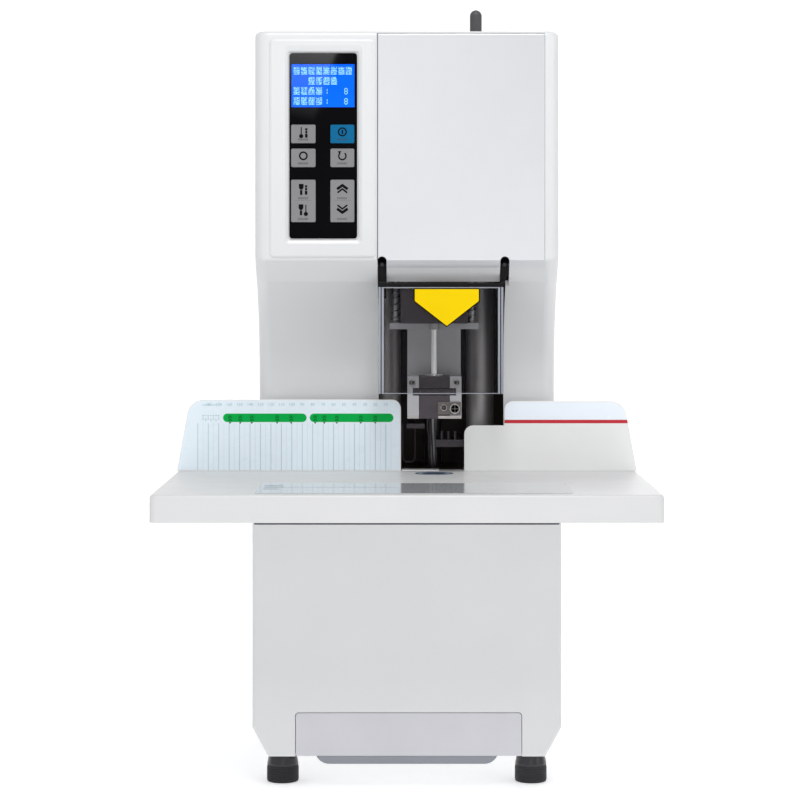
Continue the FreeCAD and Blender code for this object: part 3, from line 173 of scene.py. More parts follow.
plasticFinishes = {
    # colour, roughness; density and depth of the grain, mottle, coat and gloss where they are not the usual
    "whiteShell": dict(colour=(0.685, 0.69, 0.7), rough=0.36, mottle=0.01, coat=0.12),
    "baseShell": dict(colour=(0.69, 0.695, 0.7), rough=0.36, mottle=0.01, coat=0.12),
    "paleShell": dict(colour=(0.6, 0.6, 0.635), rough=0.42, depth=0.06, mottle=0.03, coat=0.05),
    "tableWhite": dict(colour=(0.635, 0.637, 0.64), rough=0.4, grain=800, mottle=0.012, coat=0.08),
    "stopWhite": dict(colour=(0.8, 0.805, 0.8), rough=0.42, grain=800, depth=0.04, mottle=0.02, coat=0.05),
    "stopFilm": dict(colour=(0.755, 0.845, 0.91), rough=0.28, grain=500, depth=0.01, mottle=0.03, coat=0.3),
    "labelFilm": dict(colour=(0.82, 0.88, 0.95), rough=0.25, grain=500, depth=0.01, mottle=0.02, coat=0.3),
    # painted shade: the drawer lip is darker because it faces down and in
    "lipGrey": dict(colour=(0.28, 0.29, 0.325), rough=0.5, grain=700, mottle=0.03, gloss=0.2),
    "bezelBlack": dict(colour=(0.0025, 0.0022, 0.003), rough=0.03, grain=400, depth=0.0004, gloss=0.06),
    "keyGrey": dict(colour=(0.222, 0.218, 0.226), rough=0.38, grain=1100, depth=0.06, mottle=0.05, gloss=0.15),
    "keyBlue": dict(colour=(0.0012, 0.122, 0.27), rough=0.34, grain=1100, depth=0.06, mottle=0.05, gloss=0.12),
    "keyInk": dict(colour=(0.004, 0.004, 0.005), rough=0.4, depth=0.02, gloss=0.04),
    "keyLegend": dict(colour=(0.06, 0.055, 0.06), rough=0.45, depth=0.02, gloss=0.04),
    "rulerInk": dict(colour=(0.36, 0.52, 0.58), rough=0.4, depth=0.01, mottle=0.05, gloss=0.1),
    "rulerFaint": dict(colour=(0.6, 0.72, 0.77), rough=0.4, depth=0.01, mottle=0.05, gloss=0.1),
    "rulerGreen": dict(colour=(0.0005, 0.4, 0.065), rough=0.35, depth=0.01, mottle=0.08, gloss=0.08),
    "deepGreenInk": dict(colour=(0.002, 0.1, 0.02), rough=0.4, depth=0.01, mottle=0.08, gloss=0.08),
    "guideRed": dict(colour=(0.55, 0.035, 0.05), rough=0.35, depth=0.01, mottle=0.06, gloss=0.1),
    "patchYellow": dict(colour=(0.86, 0.6, 0.0005), rough=0.3, grain=500, depth=0.01, mottle=0.04, gloss=0.06),
    "patchEdge": dict(colour=(0.0016, 0.0011, 0.0009), rough=0.5, grain=500, depth=0.01, gloss=0.03),
    "boardGloss": dict(colour=(0.52, 0.54, 0.56), rough=0.12, grain=300, depth=0.006, mottle=0.05, coat=0.5),
    "boardInk": dict(colour=(0.13, 0.16, 0.18), rough=0.25, grain=600, depth=0.01, coat=0.4),
    "liningDark": dict(colour=(0.032, 0.021, 0.017), rough=0.55, grain=300, depth=0.08, mottle=0.3),
    "darkPlastic": dict(colour=(0.075, 0.075, 0.08), rough=0.42, depth=0.08, coat=0.05),
    "blackPlastic": dict(colour=(0.016, 0.016, 0.017), rough=0.4, grain=800, depth=0.08, mottle=0.12, coat=0.05),
    "rubberBlack": dict(colour=(0.022, 0.022, 0.025), rough=0.62, grain=600, depth=0.15, mottle=0.25),
    "footGloss": dict(colour=(0.03, 0.03, 0.034), rough=0.28, grain=500, depth=0.06, mottle=0.15, coat=0.3),
    "beltRubber": dict(colour=(0.018, 0.018, 0.018), rough=0.7, grain=500, depth=0.2, mottle=0.2),
    # a lighter blue ring: painted reflection on the pad's top
    "padRing": dict(colour=(0.3, 0.38, 0.5), rough=0.35, grain=500, coat=0.1),
    "padNylon": dict(colour=(0.035, 0.045, 0.07), rough=0.38, grain=400, depth=0.1, mottle=0.2, coat=0.1),
    "blackPaint": dict(colour=(0.005, 0.005, 0.0055), rough=0.34, grain=500, depth=0.04, mottle=0.15, gloss=0.12),
    "boardGreen": dict(colour=(0.015, 0.13, 0.05), rough=0.3, grain=300, depth=0.03, mottle=0.15, coat=0.4),
    # painted shade: dark strips in the panel seam and under the table's edge
    "gasketGrey": dict(colour=(0.1, 0.1, 0.115), rough=0.6, gloss=0.2),
    "chipBlack": dict(colour=(0.02, 0.02, 0.022), rough=0.5, grain=600, depth=0.04),
    "floorPaint": dict(colour=(0.93, 0.935, 0.94), rough=0.7, grain=30, depth=0.01, mottle=0.006),
}

metalFinishes = {
    # colour, roughness, density of the grinding lines along X, Y, Z; their depth, metallic,
    # spread of the roughness and cloud in the colour where they are not the usual
    "silverPanel": dict(colour=(0.7, 0.71, 0.735), rough=0.31, lines=(2400, 2400, 2400), depth=0.0004, metal=0.45,
                        spread=0.015, cloud=0.01),
    "sheetSteel": dict(colour=(0.52, 0.52, 0.53), rough=0.36, lines=(40, 600, 600)),
    "chromedSteel": dict(colour=(0.74, 0.74, 0.75), rough=0.1, lines=(500, 500, 12), depth=0.015),
    "polishedSteel": dict(colour=(0.34, 0.335, 0.34), rough=0.32, lines=(500, 500, 60), depth=0.03, metal=0.9),
    "brightPlate": dict(colour=(0.95, 0.94, 0.95), rough=0.3, lines=(30, 700, 700), depth=0.03, metal=0.15),
    "machinedAluminium": dict(colour=(0.6, 0.6, 0.62), rough=0.34, lines=(60, 500, 500), depth=0.06),
    "brushedAluminium": dict(colour=(0.44, 0.44, 0.46), rough=0.45, lines=(700, 700, 30), metal=0.4),
    "castMetal": dict(colour=(0.42, 0.42, 0.44), rough=0.5, lines=(250, 250, 250), depth=0.2),
    "darkSteel": dict(colour=(0.066, 0.057, 0.065), rough=0.38, lines=(300, 300, 300), depth=0.06, metal=0.7),
    "bronze": dict(colour=(0.5, 0.34, 0.15), rough=0.34, lines=(300, 300, 300), depth=0.08),
    "motorSteel": dict(colour=(0.34, 0.34, 0.36), rough=0.32, lines=(400, 400, 40)),
    "columnChrome": dict(colour=(0.4, 0.385, 0.385), rough=0.5, lines=(500, 500, 12), depth=0.002, metal=0.85,
                         spread=0.06),
    "rodChrome": dict(colour=(0.95, 0.95, 0.97), rough=0.13, lines=(500, 500, 20), depth=0.01),
    "terminalNickel": dict(colour=(0.13, 0.12, 0.115), rough=0.42, lines=(350, 350, 350), depth=0.2, metal=0.7),
    "rimChrome": dict(colour=(0.4, 0.38, 0.37), rough=0.36, lines=(300, 300, 300), metal=0.5),
    "springSteel": dict(colour=(0.4, 0.4, 0.42), rough=0.25, lines=(300, 300, 300), depth=0.03),
}

clearFinishes = {
    # colour, roughness, how much of it is opaque, how far it mirrors
    "smokedAcrylic": dict(colour=(0.01, 0.0095, 0.013), rough=0.04, opacity=0.17, gloss=0.06),
    "clearEdge": dict(colour=(0.4, 0.42, 0.47), rough=0.16, opacity=0.75, gloss=0.3),
}

lightFinishes = {
    # the two colours that mix, strength of the light, roughness
    "screenBlue": dict(colour=(0, 0.055, 0.7), far=(0.003, 0.112, 0.92), glow=0.72, rough=0.03),
    "screenLetter": dict(colour=(0.2, 0.5, 1), far=(0.3, 0.62, 1), glow=0.8, rough=0.2),
}


noiseSetup = {
    # scale and detail of each noise, in patches per metre
    "mouldedTone": (14, 4),
    "mouldedSmudge": (38, 5),
    "metalLines": (1, 3),
    "metalTone": (25, 4),
    "clearTone": (20, 3),
    "clearRub": (60, 5),
    "clearWave": (30, 2),
    "lightPatch": (24, 2),
    "grainDetail": 2,
    "usedRange": (0.3, 0.7),    # noise seldom goes beyond these
    "toneRange": (0.32, 0.68),
    "bumpReach": 0.0002,
}

surfaceSetup = {
    "smudge": 0.12,             # share by which the roughness of plastic varies
    "coatRough": 0.18,
    "clearCloud": 0.1,
    "clearRub": (0.7, 1.5),
    "clearDepth": 0.02,
    "clearIndex": 1.49,
    "lightGloss": 0.06,
}


def startFinish(name):
    mat = bpy.data.materials.new(name)
    mat.use_nodes = True
    tree = mat.node_tree
    shader = tree.nodes["Principled BSDF"]
    place = tree.nodes.new("ShaderNodeTexCoord")
    return mat, tree, shader, place.outputs["Object"]


def addNoise(tree, where, scale, detail, stretch=None):
    noise = tree.nodes.new("ShaderNodeTexNoise")
    noise.inputs["Scale"].default_value = scale
    noise.inputs["Detail"].default_value = detail
    if stretch:
        turn = tree.nodes.new("ShaderNodeMapping")
        turn.inputs["Scale"].default_value = stretch
        tree.links.new(where, turn.inputs["Vector"])
        where = turn.outputs["Vector"]
    tree.links.new(where, noise.inputs["Vector"])
    return noise.outputs["Fac"]


def addBump(tree, shader, height, depth):
    bump = tree.nodes.new("ShaderNodeBump")
    bump.inputs["Strength"].default_value = depth
    bump.inputs["Distance"].default_value = noiseSetup["bumpReach"]
    tree.links.new(height, bump.inputs["Height"])
    tree.links.new(bump.outputs["Normal"], shader.inputs["Normal"])


def addTones(tree, shader, factor, colour, spread):
    ramp = tree.nodes.new("ShaderNodeValToRGB")
    dark, light = ramp.color_ramp.elements
    dark.position, light.position = noiseSetup["toneRange"]
    dark.color = (*[c * (1 - spread) for c in colour], 1)
    light.color = (*[min(c * (1 + spread), 1) for c in colour], 1)
    tree.links.new(factor, ramp.inputs["Fac"])
    tree.links.new(ramp.outputs["Color"], shader.inputs["Base Color"])


def addRoughness(tree, shader, factor, rough, low, high):  # low and high are shares of the roughness
    span = tree.nodes.new("ShaderNodeMapRange")
    first, last = noiseSetup["usedRange"]
    for end, value in (("From Min", first), ("From Max", last), ("To Min", rough * low), ("To Max", rough * high)):
        span.inputs[end].default_value = value
    tree.links.new(factor, span.inputs["Value"])
    tree.links.new(span.outputs["Result"], shader.inputs["Roughness"])


def mouldedFinish(name, colour, rough, grain=900, depth=0.05, mottle=0.1, coat=0.0, gloss=0.35):
    mat, tree, shader, where = startFinish(name)
    addTones(tree, shader, addNoise(tree, where, *noiseSetup["mouldedTone"]), colour, mottle)
    share = surfaceSetup["smudge"]
    smudge = addNoise(tree, where, *noiseSetup["mouldedSmudge"])
    addRoughness(tree, shader, smudge, rough, 1 - share, 1 + share)
    addBump(tree, shader, addNoise(tree, where, grain, noiseSetup["grainDetail"]), depth)
    shader.inputs["Specular IOR Level"].default_value = gloss
    shader.inputs["Coat Weight"].default_value = coat
    shader.inputs["Coat Roughness"].default_value = surfaceSetup["coatRough"]
    return mat


def metalFinish(name, colour, rough, lines, depth=0.05, metal=1.0, spread=0.2, cloud=0.05):
    mat, tree, shader, where = startFinish(name)
    ground = addNoise(tree, where, *noiseSetup["metalLines"], lines)
    addTones(tree, shader, addNoise(tree, where, *noiseSetup["metalTone"]), colour, cloud)
    addRoughness(tree, shader, ground, rough, 1 - spread, 1 + spread)
    addBump(tree, shader, ground, depth)
    shader.inputs["Metallic"].default_value = metal
    return mat


def clearFinish(name, colour, rough, opacity, gloss):
    mat, tree, shader, where = startFinish(name)
    tone = addNoise(tree, where, *noiseSetup["clearTone"])
    addTones(tree, shader, tone, colour, surfaceSetup["clearCloud"])
    rub = addNoise(tree, where, *noiseSetup["clearRub"])
    addRoughness(tree, shader, rub, rough, *surfaceSetup["clearRub"])
    addBump(tree, shader, addNoise(tree, where, *noiseSetup["clearWave"]), surfaceSetup["clearDepth"])
    shader.inputs["Alpha"].default_value = opacity
    shader.inputs["Specular IOR Level"].default_value = gloss
    shader.inputs["IOR"].default_value = surfaceSetup["clearIndex"]
    return mat


def lightFinish(name, colour, far, glow, rough):
    mat, tree, shader, where = startFinish(name)
    ramp = tree.nodes.new("ShaderNodeValToRGB")
    for stop, shade in zip(ramp.color_ramp.elements, (colour, far)):
        stop.color = (*shade, 1)
    tree.links.new(addNoise(tree, where, *noiseSetup["lightPatch"]), ramp.inputs["Fac"])
    tree.links.new(ramp.outputs["Color"], shader.inputs["Base Color"])
    tree.links.new(ramp.outputs["Color"], shader.inputs["Emission Color"])
    shader.inputs["Emission Strength"].default_value = glow
    shader.inputs["Specular IOR Level"].default_value = surfaceSetup["lightGloss"]
    shader.inputs["Roughness"].default_value = rough
    return mat


finish = {}
for make, table in ((mouldedFinish, plasticFinishes), (metalFinish, metalFinishes),
                    (clearFinish, clearFinishes), (lightFinish, lightFinishes)):
    for name, values in table.items():
        finish[name] = make(name, **values)
print("finishes mixed:", len(finish))


# Making pieces.

makingSetup = {
    # millimetres and degrees
    "edgeSegments": 2,
    "edgeAngle": 35,
    "normalWeight": 90,
    "shapeJoin": 0.004,     # corners closer than this become one
    "latheJoin": 0.002,
    "nodeJoin": 0.001,
    "flatAngle": 1,
    "mitreLimit": 0.4,
    "insetLimit": 0.2,
}


def meshObject(name, bm):
    data = bpy.data.meshes.new(name)
    bm.normal_update()
    bm.to_mesh(data)
    bm.free()
    made = bpy.data.objects.new(name, data)
    bpy.context.collection.objects.link(made)
    return made


def place(piece, body, material, slotName):
    piece.data.materials.append(finish[material])
    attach(piece, body)
    return piece


def bevelPiece(piece, width, angle=makingSetup["edgeAngle"]):
    bevel = piece.modifiers.new("softEdge", "BEVEL")
    bevel.width = width * mm
    bevel.segments = makingSetup["edgeSegments"]
    bevel.limit_method = "ANGLE"
    bevel.angle_limit = math.radians(angle)
    evenNormals(piece)


def evenNormals(piece):
    piece.data.shade_smooth()
    even = piece.modifiers.new("evenNormals", "WEIGHTED_NORMAL")
    even.keep_sharp = False
    even.weight = makingSetup["normalWeight"]


def arcPoints(x, z, radius, start, end, steps):  # start and end in degrees
    turns = [math.radians(start + (end - start) * i / steps) for i in range(steps + 1)]
    return [(x + radius * math.cos(turn), z + radius * math.sin(turn)) for turn in turns]


def boxes(x, z, sides):  # rectangles measured from one spot
    return [[(x + x0, z + z0), (x + x1, z + z0), (x + x1, z + z1), (x + x0, z + z1)] for x0, z0, x1, z1 in sides]


def rectangle(x0, z0, x1, z1):
    return boxes(0, 0, [(x0, z0, x1, z1)])


def roundedBox(x0, z0, x1, z1, radius, steps=5):
    corners = [(x1 - radius, z0 + radius, -90), (x1 - radius, z1 - radius, 0),
               (x0 + radius, z1 - radius, 90), (x0 + radius, z0 + radius, 180)]
    outline = []
    for x, z, turn in corners:
        outline += arcPoints(x, z, radius, turn, turn + 90, steps)
    return [outline]


def disc(x, z, radius, steps=20):
    return [arcPoints(x, z, radius, 0, 360 - 360 / steps, steps - 1)]


def ring(x, z, inner, outer, start=0, end=360, steps=24):
    ins = arcPoints(x, z, inner, start, end, steps)
    outs = arcPoints(x, z, outer, start, end, steps)
    return [[ins[i], outs[i], outs[i + 1], ins[i + 1]] for i in range(steps)]


def stroke(points, width):  # a line of even width, mitred at its bends
    runs = [(Vector(b) - Vector(a)).normalized() for a, b in zip(points, points[1:])]
    sides = []
    for i, point in enumerate(points):
        ways = runs[max(i - 1, 0):i + 1]
        along = sum(ways, Vector((0, 0))).normalized()
        across = Vector((-along.y, along.x))
        square = abs(across.dot(Vector((-ways[0].y, ways[0].x))))
        out = across * (width / 2 / max(square, makingSetup["mitreLimit"]))
        sides.append((tuple(Vector(point) + out), tuple(Vector(point) - out)))
    return [[a[0], a[1], b[1], b[0]] for a, b in zip(sides, sides[1:])]


def bandShapes(outer, inner):  # the strip between two outlines that have as many corners
    count = len(outer)
    return [[outer[i], outer[(i + 1) % count], inner[(i + 1) % count], inner[i]] for i in range(count)]


def crossShapes(u, v, reach, half):
    return boxes(u, v, [(-reach, -half, reach, half), (-half, half, half, reach), (-half, -reach, half, -half)])


def raisedShapes(name, shapes, face, lift, plane="front"):  # thin shapes proud of a face, in millimetres
    level = face - lift if plane == "front" else face + lift
    sink = (face - level) * mm
    bm = bmesh.new()
    for outline in shapes:
        spots = [(u, v, level) if plane == "top" else (u, level, v) for u, v in outline]
        bm.faces.new([bm.verts.new([c * mm for c in spot]) for spot in spots])
    bmesh.ops.remove_doubles(bm, verts=bm.verts, dist=makingSetup["shapeJoin"] * mm)
    bmesh.ops.recalc_face_normals(bm, faces=bm.faces)
    grown = bmesh.ops.extrude_face_region(bm, geom=bm.faces[:])
    moved = [part for part in grown["geom"] if isinstance(part, bmesh.types.BMVert)]
    bmesh.ops.translate(bm, verts=moved, vec=(0, 0, sink) if plane == "top" else (0, sink, 0))
    bmesh.ops.recalc_face_normals(bm, faces=bm.faces)
    return meshObject(name, bm)


def drawPiece(name, shapes, face, lift, body, material, slotName, plane="front"):
    return place(raisedShapes(name, shapes, face, lift, plane), body, material, slotName)


def joinRings(bm, pairs):
    for first, second in pairs:
        for corners in bandShapes(first, second):
            bm.faces.new(corners)


def lathe(name, spot, line, axis, steps):  # turned about Y or Z: the line holds (radius, station) pairs
    bm = bmesh.new()
    rings = []
    for radius, station in line:
        row = []
        for i in range(steps):
            turn = 2 * math.pi * i / steps
            a, b = radius * math.cos(turn), radius * math.sin(turn)
            point = (a, b, station) if axis == "Z" else (a, station, b)
            row.append(bm.verts.new([(p + s) * mm for p, s in zip(point, spot)]))
        rings.append(row)
    joinRings(bm, zip(rings, rings[1:]))
    bm.faces.new(rings[0])
    bm.faces.new(rings[-1])
    bmesh.ops.remove_doubles(bm, verts=bm.verts, dist=makingSetup["latheJoin"] * mm)
    bmesh.ops.recalc_face_normals(bm, faces=bm.faces)
    made = meshObject(name, bm)
    evenNormals(made)
    return made


def numerals(name, entries, face, height, half, proud):  # entries hold (text, x, z), all centred
    made = []
    for text, x, z in entries:
        curve = bpy.data.curves.new(name, "FONT")
        curve.body = text
        curve.size = height * mm
        curve.align_x = curve.align_y = "CENTER"
        curve.extrude = half * mm
        curve.resolution_u = 2
        letter = bpy.data.objects.new(name, curve)
        bpy.context.collection.objects.link(letter)
        letter.rotation_euler = (math.radians(90), 0, 0)
        letter.location = (x * mm, (face - proud) * mm, z * mm)
        made.append(letter)
    bpy.context.view_layer.update()
    bm = bmesh.new()
    for letter in made:
        graph = bpy.context.evaluated_depsgraph_get()
        data = bpy.data.meshes.new_from_object(letter.evaluated_get(graph))
        data.transform(letter.matrix_world)
        bm.from_mesh(data)
        bpy.data.meshes.remove(data)
        bpy.data.objects.remove(letter)
    return meshObject(name, bm)


# The CAD nodes: finish and softened edge in millimetres.

nodeFinish = {
    ("baseShell", 0): "base_housing",
    ("beltRubber", 0): "drive_belt",
    ("bezelBlack", 0.15): "keypad_bezel",
    ("blackPaint", 0.4): "shield_bracket",
    ("blackPlastic", 0.4): "power_inlet power_rocker",
    ("boardGloss", 0): "table_plate",
    ("boardGreen", 0): "keypad_board",
    ("boardGreen", 0.1): "control_board",
    ("brightPlate", 0.1): "throat_plate",
    ("bronze", 0.2): "carriage_bearings",
    ("bronze", 0.3): "lift_nut",
    ("brushedAluminium", 0.3): "clamp_hanger",
    ("castMetal", 0.3): "pad_seat",
    ("chromedSteel", 0.15): "drill_bush",
    ("columnChrome", 0): "guide_columns",
    ("darkPlastic", 0): "tube_sleeve tube_cap",
    ("darkSteel", 0): "throat_fittings",
    ("darkSteel", 0.15): "heater_plate",
    ("darkSteel", 0.3): "spindle_housing clamp_block",
    ("keyBlue", 0.3): "key_start",
    ("keyGrey", 0.3): "key_punch key_stop key_reset key_mode key_jog",
    ("liningDark", 0): "throat_liner",
    ("machinedAluminium", 0.2): "motor_pulley",
    ("machinedAluminium", 0.4): "carriage_block",
    ("motorSteel", 0.6): "drill_motor lift_motor",
    ("padNylon", 0.3): "cutting_pad",
    ("paleShell", 0.6): "chip_drawer",
    ("patchYellow", 0): "shield_patch",
    ("polishedSteel", 0): "spindle_shaft lift_screw",
    ("polishedSteel", 0.2): "pad_spindle",
    ("polishedSteel", 0.3): "case_screws",
    ("rodChrome", 0): "drill_bit",
    ("rubberBlack", 0.2): "feed_roller pinch_roller",
    ("rubberBlack", 0.8): "feet",
    ("screenBlue", 0): "display_module",
    ("sheetSteel", 0): "base_floor",
    ("sheetSteel", 0.2): "shield_hinges feed_unit",
    ("sheetSteel", 0.3): "frame_bottom_plate frame_top_plate",
    ("sheetSteel", 0.5): "power_supply",
    ("silverPanel", 0): "front_fascia",
    ("smokedAcrylic", 0.25): "shield_cover",
    ("springSteel", 0): "clamp_springs",
    ("stopWhite", 0.5): "left_back_stop right_back_stop",
    ("tableWhite", 0): "table_top",
    ("terminalNickel", 0.25): "clamp_fittings",
    ("whiteShell", 0): "front_cover rear_cover",
}


def dressNode(name, material, edge):
    node = nodes[name]
    node.data.materials.clear()
    node.data.materials.append(finish[material])
    if edge:
        weld = node.modifiers.new("joinSeams", "WELD")
        weld.merge_threshold = makingSetup["nodeJoin"] * mm
        flat = node.modifiers.new("joinFlats", "DECIMATE")
        flat.decimate_type = "DISSOLVE"
        flat.angle_limit = math.radians(makingSetup["flatAngle"])
        bevelPiece(node, edge)


for (material, edge), names in nodeFinish.items():
    for name in names.split():
        dressNode(name, material, edge)
print("nodes dressed:", len(nodes))
setCamera()
setLamps()
setCard()
setWorld()
setFloor()
print("studio set")


# Keypad: legends, rims and the lit screen, in millimetres.

keyPanel = {
    "face": -21.7,       # front of the black sheet
    "keyFace": -22.1,    # front of the key caps
    "lift": 0.05,
    "rim": 0.45,         # width of the raised line round a key
    "rimGap": 0.45,
    "rimLift": 0.12,
    "rimCorners": (2.2, 1.8),
}

keyBoxes = {
    # body, left, low, wide, tall
    "key_punch": ("punch_key", -108.8, 601.0, 23.0, 17.4),
    "key_start": ("start_key", -71.8, 601.0, 22.4, 17.4),
    "key_stop": ("stop_key", -108.8, 578.5, 23.0, 17.4),
    "key_reset": ("reset_key", -71.8, 578.5, 22.4, 17.4),
    "key_mode": ("mode_key", -108.8, 526.8, 23.0, 39.8),
    "key_jog": ("jog_key", -71.8, 526.8, 22.4, 39.8),
}

legendSetup = {
    "rows": [2.6],
    "rocker": 30,                # a key taller than this rocks and has two rows and a dashed line
    "rockerRows": [2.0, 21.6],
    "dash": (4, 20.2, 5, 20.4),  # left, low, right, high of the first
    "dashes": 9,
    "dashPitch": 1.75,
    "marks": 5,
    "pitch": 1.9,
    "tall": 1.7,
    "wide": (1.2, 1.6),
    "bar": 0.3,
    "middleBar": (0.35, 0.6),    # share of the height
    "stem": (0.45, 0.8, 0.35),   # left, right, gap above and below
}


def pinIcon(x, low):  # a fine needle with a round foot
    return stroke([(x, low + 2.4), (x, low + 10.2)], 1.0) + disc(x, low + 1.6, 2.0, 16)


def barIcon(x, low):  # a short tube with two gaps
    return boxes(x, low, [(-1.15, -0.2, 1.15, 3.4), (-0.95, 3.8, 0.95, 6.3), (-1.1, 6.7, 1.1, 8.6)])


def driveIcon(x, low):  # a broad head on a stem
    head = [(x - 1.0, low + 4.9), (x + 1.0, low + 4.9), (x + 2.2, low + 6.7), (x + 2.2, low + 10.3),
            (x - 2.2, low + 10.3), (x - 2.2, low + 6.7)]
    return [head] + rectangle(x - 1.1, low, x + 1.1, low + 4.5)


def chevronIcon(x, z, way):
    shapes = []
    for step, width, half in ((-0.5, 1.5, 4.6), (2.9, 2.5, 5.0)):
        shapes += stroke([(x - half, z + way * (step - 2.5)), (x, z + way * (step + 1.1)),
                          (x + half, z + way * (step - 2.5))], width)
    return shapes


def keyIcons(name, left, low, wide):
    x = left + wide / 2
    if name == "key_punch":
        return pinIcon(x - 2.0, low + 5.0) + barIcon(x + 2.8, low + 5.4)
    if name == "key_start":
        return ring(x, low + 10.6, 3.0, 4.3, 0, 360, 30) + rectangle(x - 0.7, low + 8.6, x + 0.7, low + 12.6)
    if name == "key_stop":
        return ring(x, low + 10.6, 2.7, 4.2, 0, 360, 28)
    if name == "key_reset":
        return ring(x, low + 10.4, 2.7, 4.1, 128, 412, 26) + [
            [(x - 4.4, low + 14.9), (x - 1.0, low + 15.2), (x - 2.6, low + 11.9)]]
    if name == "key_mode":
        return (driveIcon(x - 2.0, low + 25.6) + barIcon(x + 2.6, low + 26.0)
                + driveIcon(x - 2.2, low + 6.4) + pinIcon(x + 2.4, low + 6.0))
    return chevronIcon(x, low + 30.6, 1) + chevronIcon(x, low + 13.0, -1)


def legendMarks(x, z):  # a row of small plain marks under an icon
    v = legendSetup
    tall, bar = v["tall"], v["bar"]
    stemLeft, stemRight, gap = v["stem"]
    shapes = []
    for i in range(v["marks"]):
        width = random.uniform(*v["wide"])
        left = x - v["pitch"] * v["marks"] / 2 + i * v["pitch"]
        for low in (0.0, random.uniform(*v["middleBar"]) * tall, tall - bar):
            shapes += rectangle(left, z + low, left + width, z + low + bar)
        shapes += rectangle(left + stemLeft, z + gap, left + stemRight, z + tall - gap)
    return shapes


def dashLine(left, low):
    v = legendSetup
    return [dash for i in range(v["dashes"]) for dash in boxes(left + i * v["dashPitch"], low, [v["dash"]])]


def makeKeyLegends():
    v = legendSetup
    look = keyPanel["keyFace"], keyPanel["lift"]
    for name, (body, left, low, wide, tall) in keyBoxes.items():
        drawPiece(name + "_icons", keyIcons(name, left, low, wide), *look, body, "keyInk", "bezel_black")
        rocks = tall > v["rocker"]
        marks = []
        for row in v["rockerRows"] if rocks else v["rows"]:
            marks += legendMarks(left + wide / 2, low + row)
        if rocks:
            marks += dashLine(left, low)
        drawPiece(name + "_marks", marks, *look, body, "keyLegend", "bezel_black")


def makeKeyRims():
    v = keyPanel
    shapes = []
    for _, left, low, wide, tall in keyBoxes.values():
        outer, inner = [roundedBox(left - by, low - by, left + wide + by, low + tall + by, corner)[0]
                        for by, corner in zip((v["rimGap"] + v["rim"], v["rimGap"]), v["rimCorners"])]
        shapes += bandShapes(outer, inner)
    drawPiece("keypad_rims", shapes, v["face"], v["rimLift"], "machine", "bezelBlack", "bezel_black")


# The screen shows rows of lit dots and two plain numbers.

screenLayout = {
    "face": -21.4,
    "lift": 0.03,
    "left": -106.4,
    "top": 673.4,
    "rows": [(0, 8), (2, 4), (0, 4), (0, 4)],   # first cell and number of cells in each row
    "rowStep": 9.5,
    "cell": 7.0,
    "cellDrop": 0.6,
    "cellDots": 13,
    "dot": (0.44, 0.5488),      # pitch across and up
    "lit": 0.86,                # share of the pitch
    "fill": (0.72, 0.25),       # how many dots are lit in the dense and the sparse lines of a cell
    "signRow": 2,               # signs stand in this row and those under it
    "signs": [(":", 30.0, 1.6, 0.62, 0.86), ("8", 47.6, 1.4, 0.66, 0.86)],  # from the left, drop, pitch
}

signDots = {
    "8": ["01110", "10001", "10001", "01110", "10001", "10001", "01110"],
    ":": ["00000", "00100", "00100", "00000", "00100", "00100", "00000"],
}


def dotCell(x, top, pattern, across, up):
    dot = (0, 0, across * screenLayout["lit"], up * screenLayout["lit"])
    return [shape for row, line in enumerate(pattern) for column, mark in enumerate(line) if mark == "1"
            for shape in boxes(x + column * across, top - (row + 1) * up, [dot])]


def blockPattern(count):  # framed bars that stand for a word
    dense, sparse = screenLayout["fill"]
    lines = []
    for row in range(count):
        share = sparse if row % 3 == 1 else dense
        lines.append("".join("1" if random.random() < share else "0" for _ in range(count)))
    return lines


def makeScreen():
    v = screenLayout
    shapes = []
    for row, (first, count) in enumerate(v["rows"]):
        top = v["top"] - row * v["rowStep"]
        for i in range(first, first + count):
            x = v["left"] + i * v["cell"]
            shapes += dotCell(x, top - v["cellDrop"], blockPattern(v["cellDots"]), *v["dot"])
        if row >= v["signRow"]:
            for sign, across, drop, pitch, rise in v["signs"]:
                shapes += dotCell(v["left"] + across, top - drop, signDots[sign], pitch, rise)
    drawPiece("screen_dots", shapes, v["face"], v["lift"], "machine", "screenLetter", "screen_blue")


makeKeyLegends()
makeKeyRims()
makeScreen()
print("keypad drawn")


# Back stops: the ruled film with its green bars, numbers and legend, and the label with its red line.

stopFilmSetup = {
    "face": 24.0,
    "film": 0.12,
    "ink": 0.03,
    "edge": 0.9,                    # bare rim around the film
    "outline": [(-221.0, 288.9, 0), (-5.6, 288.9, 0), (-5.6, 357.3, 8.6), (-208.6, 357.3, 17)],
    "lines": (-200.7, 10.03, 19),   # first line, pitch, count
    "lineHalf": 0.28,
    "faintHalf": 0.2,
    "lineLow": 289.6,
    "lineHigh": 334.6,
    "barLow": 335.8,
    "barHigh": 344.0,
    "barFlat": 0.02,                # half of what the rounding of a bar's ends leaves straight
    "bars": [(-176.5, -96.2), (-93.2, -12.8)],
    "pointers": [-169.8, -159.9, -148.9, -124.5, -111.0, -88.0, -79.3, -67.2, -44.2, -30.3],
    "tick": (1.2, 0.1, 1.9),        # half its width, its top and its tip below the bar
    "signRows": (1.3, 4.2),         # heights of the small signs in the bar
    "sign": [(-1.9, 0, -0.2, 0.7), (0.3, 0, 2.0, 0.7), (-1.6, 1.3, 1.7, 1.9), (-0.3, 0.7, 0.25, 1.3)],
    "signInk": 0.02,
    "number": (4.0, 0.025, 0.03),   # height, half its thickness, how far it stands out
    "numberLine": 352.6,
}

legendBlock = {
    "start": (-196.4, 341.6),
    "pitch": (2.5, 3.4),
    "count": (7, 2),
    "wide": (0.9, 1.7),
    "tall": 0.9,
    "under": (0.2, -1.5, 1.3, -0.8),
    "rule": (-196.5, 351.9, -178.0, 352.5),
}

